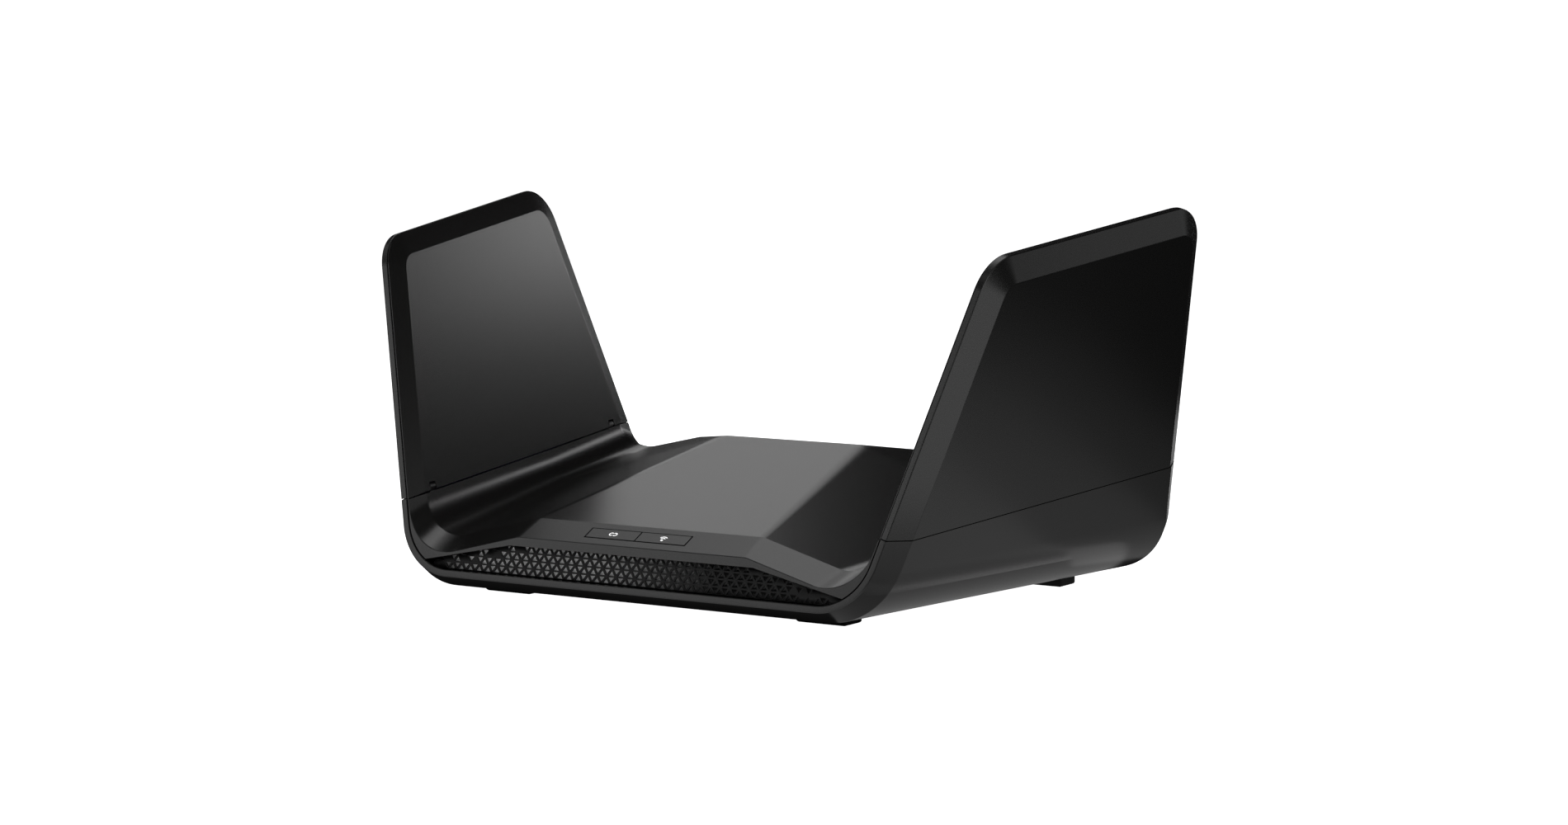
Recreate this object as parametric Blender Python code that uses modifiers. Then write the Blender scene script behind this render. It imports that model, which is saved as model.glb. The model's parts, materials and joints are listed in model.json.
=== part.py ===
"""A stand-alone wireless router with two antenna wings that fold down over it.

The frame: +X is the right wing's side, -Y is the front with the air grille, +Z is up.
The origin is under the middle of the body, on the plane that the rubber feet stand on.
Dimensions are in millimetres and become metres when a mesh is made.

The body is a U: a floor and two walls that lean and toe outwards, with a round fillet
between. Its front and rear rims lie in two raked planes. A point of the U is given by its
inset from a rim plane and by its offset n from the rim's own surface: n is positive on
the outer side of the U and negative on the inner side.
"""
import math

import bmesh
import bpy
from mathutils import Matrix, Vector

MM = 0.001
GAP = 0.3

# ---- the U-shaped body ---------------------------------------------------------------
HALF_DEPTH = 101.7        # rim planes at the height RIM_Z, front and rear
RIM_Z = 8.8               # height of the rim along the floor
FRONT_RAKE = 0.2395       # the front plane leans back with height
REAR_RAKE = 0.2716        # the rear plane leans forward with height
WING_X = 113.8            # half width where the wing plane meets y = 0, z = 0
WING_TOE = 0.1083         # the wings spread towards the rear
WING_LEAN = 0.2657        # the wings lean outwards with height
RIM_FILLET = 25.0
BAND = 9.5                # width of the bevelled bands along every rim
OUTER = 5.0               # the outer panel stands proud of the rim
INNER = -5.0              # the inner panel
EDGE = 0.4                # outer edge of the narrow rim face
LIP = -2.2                # inner edge of the rim face
WALL = 2.0
LIP_WALL = 1.5            # the bottom shell's lip, front to rear
LEDGE = 0.2               # the lip ends this far outside the rim surface
BAND_INSIDE = BAND + 0.8  # the inner edge of a bevelled band on a wall's hidden side
SKIN_WALL = 1.8
ARC_STEPS = 8
VENT_COLUMNS = 8          # air slots in the floor
VENT_ROWS = 3
VENT_PITCH = 11.0
VENT_ROW_PITCH = 30.0
VENT_HALF = (1.5, 11.0)

# ---- the wings -----------------------------------------------------------------------
SEAM_FRONT_Z = 36.6
SEAM_REAR_Z = 50.5
TOP_FRONT_Z = 139.2
TOP_REAR_Z = 156.2
CORNER_RADIUS = 18.0
CORNER_STEPS = 6
SEAM_GAP = 0.2            # each side of the seam
SKIN_DROP = -0.5          # top edge of the body's inner skin, below the seam

# ---- the wing hinges -----------------------------------------------------------------
AXIS_UP = 1.6             # the axis lies this far above the seam
AXIS_N = INNER + 1.6      # and is tangent to the inner panel
EYE_RADIUS = 1.6
PIN_RADIUS = 0.75
PIN_HOLE = 0.82
LUG_WIDTH = 4.0
LUG_FRONT = 17.0          # along the seam
LUG_REAR = 168.7
LUG_DEPTH = 11.5          # the lug's neck reaches this far below the seam
BOSS = 7.0                # half length of the bosses that turn on a pin
BOSS_N = -1.4             # outer side of the bosses
BOSS_TOP = 4.4
PIN_HALF = 5.2
PIN_HOLE_HALF = 5.5
RAIL = ((7.5, -2.4, -2.3), (178.5, -0.6, 1.1))
ANTENNA_ALONG = (66.0, 122.0)
ANTENNA_HALF = 17.0
ANTENNA_UP = (22.0, 84.0)
ANTENNA_THICK = 1.0

# ---- the top shell -------------------------------------------------------------------
LIP_TOP_Z = 26.1          # upper edge of the front lip
LIP_X = 53.6
PLATEAU_FRONT_Z = 32.4
PLATEAU_FRONT_X = 52.8
PLATEAU_INSET = 11.4      # from the front plane to the plateau
FRONT_SLOPE = -0.256
OPENING_TOP_Z = 22.7
OPENING_X = 57.0
OPENING_END = math.radians(30)
CREST_Z = 57.2            # the plateau rises to a crest behind the middle
CREST_X = 34.0
CREST_INSET = 107.6
CREST_SLOPE = -0.30
REAR_LIP_Z = 43.0
REAR_LIP_X = 93.0
PLATEAU_REAR_Z = 47.0
PLATEAU_REAR_X = 92.6
REAR_INSET = 5.0
REAR_SLOPE = -0.223
PORT_TOP_Z = 41.0
PORT_X = 82.0
PORT_END_Z = 33.0
SKIN_N = LIP - 0.5         # the top shell's rim, next to the lip of the bottom shell
BAND_EDGE_N = -3.1         # the outer edge of the inner bands
LIP_FILLET = 21.0
PLATEAU_FILLET = 18.0
CREST_FILLET = 11.5
REAR_FILLET = 11.5
REAR_LIP_FILLET = 13.0
POST_RADIUS = 3.4

# ---- the grille ----------------------------------------------------------------------
GRILLE_INSET = 3.0
GRILLE_THICK = 1.6
GRILLE_PITCH = 6.6
GRILLE_BASE = 12.4
GRILLE_ROW = 4.9
TRIANGLE_WIDTH = 4.4
TRIANGLE_HEIGHT = 3.8

# ---- front buttons -------------------------------------------------------------------
BUTTON_WIDTH = 23.1
BUTTON_DEPTH = 5.9
BUTTON_GAP = 0.35
BUTTON_ALONG = 7.3        # from the lip up the band
BUTTON_PROUD = 0.1
BUTTON_SHIFT = -0.6
FLANGE_N = -WALL - 1.1    # top of the flange that keeps a button in
FLANGE_THICK = 1.2
STEM_TIP = FLANGE_N - 2.2
PRESS_GAP = 0.6           # from a button's stem to its switch
SWITCH_HIGH = 1.8

# ---- inside --------------------------------------------------------------------------
BOARD_Z = 12.6
BOARD_THICK = 1.6
BOARD_HALF_X = 88.0
BOARD_FRONT = -66.0
PANEL_Y = 86.0            # rear face of the port panel
PANEL_THICK = 2.0
DECK = BOARD_Z + BOARD_THICK + GAP
JACK_LIFT = 0.5           # sockets stand proud of the panel
JACK_SIZE = (15.9, 13.2, 20.0)
USB_SIZE = (14.4, 7.1, 18.0)
DC_SIZE = (9.4, 11.0, 14.0)
CONTROL_Z = DECK + 6.5
POWER_TRAVEL_GAP = 1.8
SLIDE_HALF = 4.0

LAN_X = [34.0 - 17.2 * i for i in range(5)]
WAN_X = -55.0
USB_X = [82.0, 60.0]
RESET_X = -68.5
POWER_X = -80.5
DC_X = -94.0
SWITCH_X = 98.0

SHIELD_HIGH = 3.4
SINK_HALF = 24.0
SINK_FINS = 9

FEET = [(-74.0, -71.4), (74.0, -71.4), (-93.9, 61.0), (93.9, 61.0)]
FOOT_SIZE = (22.3, 12.0)
SCREWS = [(-46.0, -68.0), (46.0, -68.0), (-66.0, 61.0), (66.0, 61.0)]
SCREW_RADIUS = 1.4
SCREW_HEAD = 3.0

parts = None
cutters = None


def reset():
    """Empty the scene and make the two collections."""
    global parts, cutters
    for obj in list(bpy.data.objects):
        bpy.data.objects.remove(obj, do_unlink=True)
    parts = bpy.data.collections.new("winged_router")
    cutters = bpy.data.collections.new("cutters")
    for collection in (parts, cutters):
        bpy.context.scene.collection.children.link(collection)


# ---- materials -----------------------------------------------------------------------
def material(name, color, roughness, metallic=0.0):
    """A Principled material, made once."""
    found = bpy.data.materials.get(name)
    if found:
        return found
    made = bpy.data.materials.new(name)
    made.use_nodes = True
    shader = made.node_tree.nodes["Principled BSDF"]
    shader.inputs["Base Color"].default_value = (*color, 1.0)
    shader.inputs["Roughness"].default_value = roughness
    shader.inputs["Metallic"].default_value = metallic
    return made


BLACK_SATIN = ("black_satin_plastic", (0.02, 0.02, 0.021), 0.38)
BLACK_MATT = ("black_matt_plastic", (0.012, 0.012, 0.012), 0.6)
RUBBER = ("foot_rubber", (0.008, 0.008, 0.008), 0.85)
STEEL = ("steel", (0.55, 0.55, 0.56), 0.3, 1.0)
TIN = ("tinned_can", (0.6, 0.6, 0.6), 0.35, 1.0)
ALUMINIUM = ("aluminium", (0.7, 0.7, 0.72), 0.4, 1.0)
BOARD_GREEN = ("board_laminate", (0.01, 0.06, 0.03), 0.5)


# ---- mesh helpers --------------------------------------------------------------------
def finish(mesh, name, look, smooth=30.0):
    """Scale a bmesh from millimetres, turn its faces outwards and make it an object."""
    bmesh.ops.scale(mesh, vec=(MM, MM, MM), verts=mesh.verts)
    bmesh.ops.recalc_face_normals(mesh, faces=mesh.faces)
    data = bpy.data.meshes.new(name)
    mesh.to_mesh(data)
    mesh.free()
    data.shade_smooth()
    data.set_sharp_from_angle(angle=math.radians(smooth))
    obj = bpy.data.objects.new(name, data)
    parts.objects.link(obj)
    if look:
        data.materials.append(material(*look))
    return obj


def skin(rings, caps=True, closed=True):
    """A bmesh lofted through rings of points, which all have the same length."""
    mesh = bmesh.new()
    rows = [[mesh.verts.new(point) for point in ring] for ring in rings]
    count = len(rows[0])
    for low, high in zip(rows, rows[1:]):
        for i in range(count if closed else count - 1):
            j = (i + 1) % count
            mesh.faces.new((low[i], low[j], high[j], high[i]))
    if caps:
        mesh.faces.new(rows[0])
        mesh.faces.new(rows[-1])
    return mesh


def loft(name, rings, look, smooth=30.0):
    """A closed solid lofted through rings."""
    return finish(skin(rings), name, look, smooth)


def box_mesh(low, high):
    """A bmesh box between two corners."""
    mesh = bmesh.new()
    size = [high[i] - low[i] for i in range(3)]
    middle = [(high[i] + low[i]) / 2 for i in range(3)]
    bmesh.ops.create_cube(mesh, size=1.0)
    bmesh.ops.scale(mesh, vec=size, verts=mesh.verts)
    bmesh.ops.translate(mesh, vec=middle, verts=mesh.verts)
    return mesh


def box(name, low, high, look, frame=None):
    """A box between two corners, placed by an optional matrix."""
    mesh = box_mesh(low, high)
    if frame:
        bmesh.ops.transform(mesh, matrix=frame, verts=mesh.verts)
    return finish(mesh, name, look)


def rod_mesh(start, end, radius, sides=16):
    """A bmesh cylinder between two points."""
    start = Vector(start)
    end = Vector(end)
    mesh = bmesh.new()
    bmesh.ops.create_cone(mesh, cap_ends=True, segments=sides, radius1=radius,
                          radius2=radius, depth=(end - start).length)
    turn = (end - start).to_track_quat("Z", "Y").to_matrix().to_4x4()
    place = Matrix.Translation((start + end) / 2) @ turn
    bmesh.ops.transform(mesh, matrix=place, verts=mesh.verts)
    return mesh


def put_origin(obj, point):
    """Move an object's origin without moving its shape."""
    place = Vector(point) * MM
    obj.data.transform(Matrix.Translation(-place))
    obj.location = place


def tool(mesh, name):
    """Keep a bmesh as a hidden cutter."""
    obj = finish(mesh, name, None)
    parts.objects.unlink(obj)
    cutters.objects.link(obj)
    obj.hide_render = True
    obj.display_type = "WIRE"
    return obj


def boolean(obj, mesh, operation="DIFFERENCE"):
    """Cut a bmesh out of an object, or join it on."""
    cutter = tool(mesh, obj.name + "_tool")
    step = obj.modifiers.new(operation.lower(), "BOOLEAN")
    step.operation = operation
    step.object = cutter
    step.solver = "EXACT"


# ---- the U and its rims --------------------------------------------------------------
def rim_y(end, z):
    """The y of a rim plane at height z; end is -1 at the front and 1 at the rear."""
    rake = FRONT_RAKE if end < 0 else REAR_RAKE
    return end * (HALF_DEPTH - rake * (z - RIM_Z))


STRETCH = math.sqrt(1 + WING_TOE ** 2 + WING_LEAN ** 2)


def wing_x(y, z, n=0.0):
    """The x of the right wing's rim surface, offset outwards by n."""
    return WING_X + WING_TOE * y + WING_LEAN * z + n * STRETCH


def rim_point(end, z):
    """A corner of the right wing's rim."""
    y = rim_y(end, z)
    return Vector((wing_x(y, z), y, z))


SEAM_START = rim_point(-1, SEAM_FRONT_Z)
NORMAL = Vector((1, -WING_TOE, -WING_LEAN)).normalized()
ALONG = (rim_point(1, SEAM_REAR_Z) - SEAM_START).normalized()
UP = NORMAL.cross(ALONG)


def wing_point(a, w, n):
    """A point of the right wing: along the seam, up the wing, outwards."""
    return SEAM_START + a * ALONG + w * UP + n * NORMAL


def wing_matrix():
    """The wing's own frame as a matrix, with columns along, up and outwards."""
    frame = Matrix((ALONG, UP, NORMAL)).transposed().to_4x4()
    return Matrix.Translation(SEAM_START) @ frame


def mirrored(points):
    """The same points on the left side."""
    return [Vector((-p.x, p.y, p.z)) for p in points]


def section(end, inset, n, floor, slope, radius, top=-SEAM_GAP):
    """Points of a line that runs along one rim, on the right half of the body.

    floor holds (x, z) points from the centre; the last one starts a straight stretch of
    the given slope, which a fillet turns up into the wing wall at the offset n. The line
    ends at the height top, measured from the seam along the wing.
    """
    rake = (FRONT_RAKE if end < 0 else REAR_RAKE) * -end

    def y_at(z):
        return rim_y(end, z) - end * inset

    lean = WING_LEAN + WING_TOE * rake
    base = wing_x(y_at(0.0), 0.0, n)
    px, pz = floor[-1]
    corner_x = (base + lean * (pz - slope * px)) / (1 - lean * slope)
    corner = Vector((corner_x, pz + slope * (corner_x - px)))
    go = Vector((1, slope)).normalized()
    rise = Vector((lean, 1)).normalized()
    turn = go.angle(rise)
    start = corner - go * radius * math.tan(turn / 2)
    centre = start + Vector((-go.y, go.x)) * radius
    tilt = math.atan(slope)
    flat = list(floor)
    for i in range(ARC_STEPS + 1):
        angle = tilt + turn * i / ARC_STEPS
        flat.append((centre.x + radius * math.sin(angle), centre.y - radius * math.cos(angle)))
    points = [Vector((x, y_at(z), z)) for x, z in flat]
    step = Vector((lean, rake, 1.0))
    low = points[-1]
    rest = top - (low - SEAM_START).dot(UP)
    points.append(low + step * rest / step.dot(UP))
    return points


def rim_section(end, inset, n):
    """A line of the bottom shell: flat floor, fillet, wall."""
    return section(end, inset, n, [(0.0, RIM_Z - n)], 0.0, RIM_FILLET + n)


def opening_edge(end):
    """The top shell's lowest edge, which runs over the opening and down beside the rim.

    It has as many points as the other lines of the top shell.
    """
    rim = section(end, GAP, SKIN_N, [(0.0, RIM_Z - SKIN_N)], 0.0, RIM_FILLET + SKIN_N,
                  SKIN_DROP)
    arc = rim[1:-1]
    seam = rim[-1]
    if end < 0:
        first = Vector((OPENING_X, 0, OPENING_TOP_Z))
        middle = Vector((0, 0, OPENING_TOP_Z))
        spread = math.acos(1 - (arc[-1].z - arc[0].z) / (RIM_FILLET + SKIN_N))
        at = OPENING_END / spread * ARC_STEPS
        low = int(at)
        corner = arc[low].lerp(arc[low + 1], at - low)
        tail = arc[low + 1:] + [seam]
    else:
        first = Vector((PORT_X, 0, PORT_TOP_Z))
        middle = Vector((0, 0, PORT_TOP_Z))
        share = (PORT_END_Z - arc[-1].z) / (seam.z - arc[-1].z)
        corner = arc[-1].lerp(seam, share)
        tail = [seam]
    for point in (first, middle):
        point.y = rim_y(end, point.z) - end * GAP
    total = ARC_STEPS + 2
    stretch = total - len(tail) if end < 0 else 4
    line = [middle, first]
    line += [first.lerp(corner, 0.55 + 0.45 * i / (stretch - 1)) for i in range(stretch)]
    if end < 0:
        line += tail
    else:
        rest = total - stretch
        line += [corner.lerp(seam, (i + 1) / rest) for i in range(rest)]
    return line


def both_sides(line):
    """A line over the whole width: the left half mirrored, then the right half."""
    return mirrored(line)[:0:-1] + line


# ---- shells --------------------------------------------------------------------------
def make_bottom_shell():
    """The floor, the outer fillets and the outer walls up to the seams."""
    inner = OUTER - WALL
    profile = [(-1, 0.0, LIP), (-1, 0.0, EDGE), (-1, BAND, OUTER), (1, BAND, OUTER),
               (1, 0.0, EDGE), (1, 0.0, LIP), (1, LIP_WALL, LIP), (1, LIP_WALL, LEDGE),
               (1, BAND_INSIDE, inner), (-1, BAND_INSIDE, inner), (-1, LIP_WALL, LEDGE),
               (-1, LIP_WALL, LIP)]
    lines = [both_sides(rim_section(*line)) for line in profile]
    rings = [list(ring) for ring in zip(*lines)]
    shell = loft("bottom_shell", rings, BLACK_SATIN)
    outside = RIM_Z - OUTER
    for x, y in SCREWS:
        boolean(shell, rod_mesh((x, y, 0), (x, y, outside + 1.0), SCREW_HEAD + GAP))
        boolean(shell, rod_mesh((x, y, 0), (x, y, outside + 9), SCREW_RADIUS + GAP))
    wide, deep = VENT_HALF
    for row in range(VENT_ROWS):
        for column in range(VENT_COLUMNS):
            x = (column - (VENT_COLUMNS - 1) / 2) * VENT_PITCH
            y = (row - (VENT_ROWS - 1) / 2) * VENT_ROW_PITCH
            slot = box_mesh((x - wide, y - deep, 0), (x + wide, y + deep, RIM_Z - LIP))
            boolean(shell, slot)


def make_top_shell():
    """The plateau, its slopes, the inner walls and the front band."""
    def line(end, inset, n, floor, slope, radius):
        return section(end, inset, n, floor, slope, radius, SKIN_DROP)

    front_lip = [(0, LIP_TOP_Z), (LIP_X, LIP_TOP_Z)]
    front_middle = [(0, PLATEAU_FRONT_Z), (PLATEAU_FRONT_X, PLATEAU_FRONT_Z)]
    crest = [(0, CREST_Z), (CREST_X, CREST_Z)]
    rear_middle = [(0, PLATEAU_REAR_Z), (PLATEAU_REAR_X, PLATEAU_REAR_Z)]
    rear_lip = [(0, REAR_LIP_Z), (REAR_LIP_X, REAR_LIP_Z)]
    lines = [
        opening_edge(-1),
        line(-1, GAP, BAND_EDGE_N, front_lip, FRONT_SLOPE, LIP_FILLET),
        line(-1, PLATEAU_INSET, INNER, front_middle, FRONT_SLOPE, PLATEAU_FILLET),
        line(-1, CREST_INSET, INNER, crest, CREST_SLOPE, CREST_FILLET),
        line(1, REAR_INSET, INNER, rear_middle, REAR_SLOPE, REAR_FILLET),
        line(1, GAP, BAND_EDGE_N, rear_lip, REAR_SLOPE, REAR_LIP_FILLET),
        opening_edge(1),
    ]
    # the inner wall keeps its full band at the rear, where the plateau comes further back
    for i, point in enumerate(lines[4]):
        share = max(0.0, min(1.0, (i - 3) / (ARC_STEPS - 1)))
        point.y -= share * (PLATEAU_INSET - REAR_INSET)
        point.x -= share * (PLATEAU_INSET - REAR_INSET) * WING_TOE
    rows = [both_sides(points) for points in lines]
    mesh = skin(rows, caps=False, closed=False)
    bmesh.ops.reverse_faces(mesh, faces=mesh.faces)
    shell = finish(mesh, "top_shell", BLACK_SATIN)
    if sum(face.normal.z for face in shell.data.polygons) < 0:
        shell.data.flip_normals()
    thick = shell.modifiers.new("wall", "SOLIDIFY")
    thick.thickness = SKIN_WALL * MM
    thick.offset = -1.0
    thick.use_even_offset = True
    thick.thickness_clamp = 0.0
    shell.modifiers.new("flat_faces", "TRIANGULATE")
    return shell


def band_frame():
    """The front band's own frame: across, up the band, and out of it."""
    lip = Vector((0, rim_y(-1, LIP_TOP_Z) + GAP, LIP_TOP_Z))
    crease = Vector((0, rim_y(-1, PLATEAU_FRONT_Z) + PLATEAU_INSET, PLATEAU_FRONT_Z))
    up = (crease - lip).normalized()
    across = Vector((1, 0, 0))
    out = across.cross(up)
    frame = Matrix((across, up, out)).transposed().to_4x4()
    return Matrix.Translation(lip) @ frame


def plateau_z(y):
    """The height of the plateau's middle at y."""
    front = Vector((rim_y(-1, PLATEAU_FRONT_Z) + PLATEAU_INSET, PLATEAU_FRONT_Z))
    crest = Vector((rim_y(-1, CREST_Z) + CREST_INSET, CREST_Z))
    rear = Vector((rim_y(1, PLATEAU_REAR_Z) - REAR_INSET, PLATEAU_REAR_Z))
    low, high = (front, crest) if y < crest.x else (crest, rear)
    return low.y + (high.y - low.y) * (y - low.x) / (high.x - low.x)


def cut_top_shell(shell):
    """Openings and posts of the top shell."""
    band = band_frame()
    half = BUTTON_WIDTH + BUTTON_GAP * 1.5
    deep = BUTTON_DEPTH / 2 + BUTTON_GAP
    hole = box_mesh((BUTTON_SHIFT - half, BUTTON_ALONG - deep, -6),
                    (BUTTON_SHIFT + half, BUTTON_ALONG + deep, 4))
    bmesh.ops.transform(hole, matrix=band, verts=hole.verts)
    boolean(shell, hole)
    floor_top = RIM_Z - OUTER + WALL + GAP
    for x, y in SCREWS:
        top = plateau_z(y) - 1.0
        boolean(shell, rod_mesh((x, y, floor_top), (x, y, top), POST_RADIUS), "UNION")
    for x, y in SCREWS:
        boolean(shell, rod_mesh((x, y, 0), (x, y, floor_top + 12), SCREW_RADIUS + 0.15))
    for side in (-1, 1):
        for a in (LUG_FRONT, LUG_REAR):
            pocket = wing_box((a - LUG_WIDTH / 2 - GAP, -LUG_DEPTH - 1.0, AXIS_N - 0.9),
                              (a + LUG_WIDTH / 2 + GAP, 2, 3), side)
            boolean(shell, pocket)


def wing_box(low, high, side):
    """A box in a wing's frame; side is -1 on the left."""
    mesh = box_mesh(low, high)
    bmesh.ops.transform(mesh, matrix=wing_matrix(), verts=mesh.verts)
    if side < 0:
        bmesh.ops.scale(mesh, vec=(-1, 1, 1), verts=mesh.verts)
        bmesh.ops.reverse_faces(mesh, faces=mesh.faces)
    return mesh


def axle(middle, half, radius, side):
    """A cylinder on a wing's hinge axis."""
    ends = [wing_point(middle + reach, AXIS_UP, AXIS_N) for reach in (-half, half)]
    if side < 0:
        ends = mirrored(ends)
    return rod_mesh(*ends, radius)


def hinge_point(side):
    """A point on a wing's hinge axis, half way between its lugs."""
    point = wing_point((LUG_FRONT + LUG_REAR) / 2, AXIS_UP, AXIS_N)
    return mirrored([point])[0] if side < 0 else point


def wing_outline(inset, bottom):
    """The rounded trapezoid of a wing in its own (along, up) plane."""
    def local(point):
        offset = point - SEAM_START
        return Vector((offset.dot(ALONG), offset.dot(UP)))

    top_front = local(rim_point(-1, TOP_FRONT_Z))
    top_rear = local(rim_point(1, TOP_REAR_Z))
    corners = [Vector((0, 0)), local(rim_point(1, SEAM_REAR_Z)), top_rear, top_front]

    def edge(i, distance):
        start = corners[i]
        go = (corners[(i + 1) % 4] - start).normalized()
        return start + Vector((-go.y, go.x)) * distance, go

    def meet(first, second):
        (p, d), (q, e) = first, second
        t = ((q - p).x * e.y - (q - p).y * e.x) / (d.x * e.y - d.y * e.x)
        return p + d * t

    edges = [edge(0, bottom), edge(1, inset), edge(2, inset), edge(3, inset)]
    shape = [meet(edges[i - 1], edges[i]) for i in range(4)]
    radius = max(CORNER_RADIUS - inset, 3.0)
    outline = shape[:2]
    for i in (2, 3):
        before = (shape[i - 1] - shape[i]).normalized()
        after = (shape[(i + 1) % 4] - shape[i]).normalized()
        half = before.angle(after) / 2
        centre = shape[i] + (before + after).normalized() * radius / math.sin(half)
        start = shape[i] + before * radius / math.tan(half) - centre
        sweep = math.pi - 2 * half
        for k in range(CORNER_STEPS + 1):
            angle = sweep * k / CORNER_STEPS
            turn = Matrix.Rotation(angle, 2)
            outline.append(centre + turn @ start)
    return outline


def wing_ring(inset, n, bottom, side):
    """A ring of world points round a wing."""
    ring = [wing_point(p.x, p.y, n) for p in wing_outline(inset, bottom)]
    return mirrored(ring) if side < 0 else ring


def make_outer_cover(side, tag):
    """The wing's outer shell, with the outer band and the narrow rim face."""
    low = SEAM_GAP
    rings = [(BAND, OUTER, low), (0.0, EDGE, low), (0.0, LIP, low), (WALL, LIP, low + WALL),
             (WALL, 0.0, low + WALL), (BAND_INSIDE, OUTER - WALL, low + WALL)]
    rings = [wing_ring(inset, n, bottom, side) for inset, n, bottom in rings]
    cover = loft("wing_outer_cover_" + tag, rings, BLACK_SATIN)
    for a in (LUG_FRONT, LUG_REAR):
        room = wing_box((a - BOSS - GAP, -1, LIP - 1),
                        (a + BOSS + GAP, BOSS_TOP + GAP, BOSS_N + GAP), side)
        boolean(cover, room)
    put_origin(cover, hinge_point(side))


def make_inner_cover(side, tag):
    """The wing's inner shell, with the bosses that turn on the hinge pins."""
    low = SEAM_GAP
    start = LIP - GAP
    rings = [(BAND, INNER, AXIS_UP), (GAP, start - 0.25, low + 0.3), (GAP, start, low),
             (BAND * 0.5, start, low + 0.3), (BAND_INSIDE, INNER + WALL, low + WALL)]
    rings = [wing_ring(inset, n, bottom, side) for inset, n, bottom in rings]
    cover = loft("wing_inner_cover_" + tag, rings, BLACK_SATIN)
    for a in (LUG_FRONT, LUG_REAR):
        block = wing_box((a - BOSS, low + 0.4, INNER + 1.0), (a + BOSS, BOSS_TOP, BOSS_N), side)
        boolean(cover, block, "UNION")
    for a in (LUG_FRONT, LUG_REAR):
        reach = LUG_WIDTH / 2 + GAP
        notch = wing_box((a - reach, -1, INNER - 1), (a + reach, AXIS_UP + 1.9, 2), side)
        boolean(cover, notch)
        boolean(cover, axle(a, PIN_HOLE_HALF, PIN_HOLE, side))
    put_origin(cover, hinge_point(side))


def make_hinge(side, tag):
    """The rail that closes the body's wall, with two lugs, and the two hinge pins."""
    rail = finish(wing_box(*RAIL, side), "hinge_rail_" + tag, STEEL)
    half = LUG_WIDTH / 2
    for a in (LUG_FRONT, LUG_REAR):
        eye = []
        steps = 10
        for k in range(steps + 1):
            angle = math.radians(-30) + math.radians(240) * k / steps
            eye.append((AXIS_N + EYE_RADIUS * math.cos(angle),
                        AXIS_UP + EYE_RADIUS * math.sin(angle)))
        neck = [(AXIS_N - 0.6, -0.2), (AXIS_N - 0.6, -LUG_DEPTH), (0.2, -LUG_DEPTH),
                (0.2, -0.8), (AXIS_N + 1.3, -0.8)]
        outline = eye + neck
        rings = []
        for offset in (-half, half):
            ring = [wing_point(a + offset, w, n) for n, w in outline]
            rings.append(mirrored(ring) if side < 0 else ring)
        lug = skin(rings)
        bmesh.ops.recalc_face_normals(lug, faces=lug.faces)
        boolean(rail, lug, "UNION")
    for a in (LUG_FRONT, LUG_REAR):
        boolean(rail, axle(a, PIN_HOLE_HALF, PIN_HOLE, side))
    for a, end in ((LUG_FRONT, "front"), (LUG_REAR, "rear")):
        pin = finish(axle(a, PIN_HALF, PIN_RADIUS, side), "hinge_pin_" + end + "_" + tag, STEEL)
        put_origin(pin, hinge_point(side))


def make_antennas(side, tag):
    """Two printed antenna boards inside a wing."""
    n = OUTER - WALL - GAP
    low, high = ANTENNA_UP
    for a, end in zip(ANTENNA_ALONG, ("front", "rear")):
        shape = wing_box((a - ANTENNA_HALF, low, n - ANTENNA_THICK),
                         (a + ANTENNA_HALF, high, n), side)
        board = finish(shape, "antenna_board_" + end + "_" + tag, BOARD_GREEN)
        put_origin(board, hinge_point(side))


def make_wings():
    """Both wings with their hinges."""
    for side, tag in ((-1, "left"), (1, "right")):
        make_outer_cover(side, tag)
        make_inner_cover(side, tag)
        make_hinge(side, tag)
        make_antennas(side, tag)


# ---- front ---------------------------------------------------------------------------
def make_grille():
    """The front grille plate, set back from the lip, with triangular holes."""
    low = RIM_Z - LIP + 0.1
    high = OPENING_TOP_Z + 1.1
    half = [(OPENING_X - 1, high), (92.0, 15.6), (94.5, 12.9), (91.0, low)]
    outline = [(-x, z) for x, z in reversed(half)] + half
    faces = (GRILLE_INSET, GRILLE_INSET + GRILLE_THICK)
    rings = [[Vector((x, rim_y(-1, z) + inset, z)) for x, z in outline] for inset in faces]
    plate = loft("front_grille", rings, BLACK_MATT)
    for row in range(2):
        base = GRILLE_BASE + row * GRILLE_ROW
        top = base + TRIANGLE_HEIGHT
        reach = 10 - 3 * row
        for half_step in range(-2 * reach, 2 * reach + 2):
            x = (half_step + row) * GRILLE_PITCH / 2
            tip, foot = (base, top) if half_step % 2 else (top, base)
            corners = [(x - TRIANGLE_WIDTH / 2, foot), (x + TRIANGLE_WIDTH / 2, foot), (x, tip)]
            ends = [[Vector((cx, rim_y(-1, cz) + inset, cz)) for cx, cz in corners]
                    for inset in (GRILLE_INSET - 1, GRILLE_INSET + GRILLE_THICK + 1)]
            hole = skin(ends)
            bmesh.ops.recalc_face_normals(hole, faces=hole.faces)
            boolean(plate, hole)


def stepped(name, rings, look, frame):
    """A block of stacked rectangles: (half width, half depth, height) from below."""
    outlines = []
    for half_x, half_y, height in rings:
        outlines.append([Vector((sx * half_x, sy * half_y, height))
                         for sx, sy in ((-1, -1), (1, -1), (1, 1), (-1, 1))])
    mesh = skin(outlines)
    bmesh.ops.transform(mesh, matrix=frame, verts=mesh.verts)
    return finish(mesh, name, look)


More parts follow.
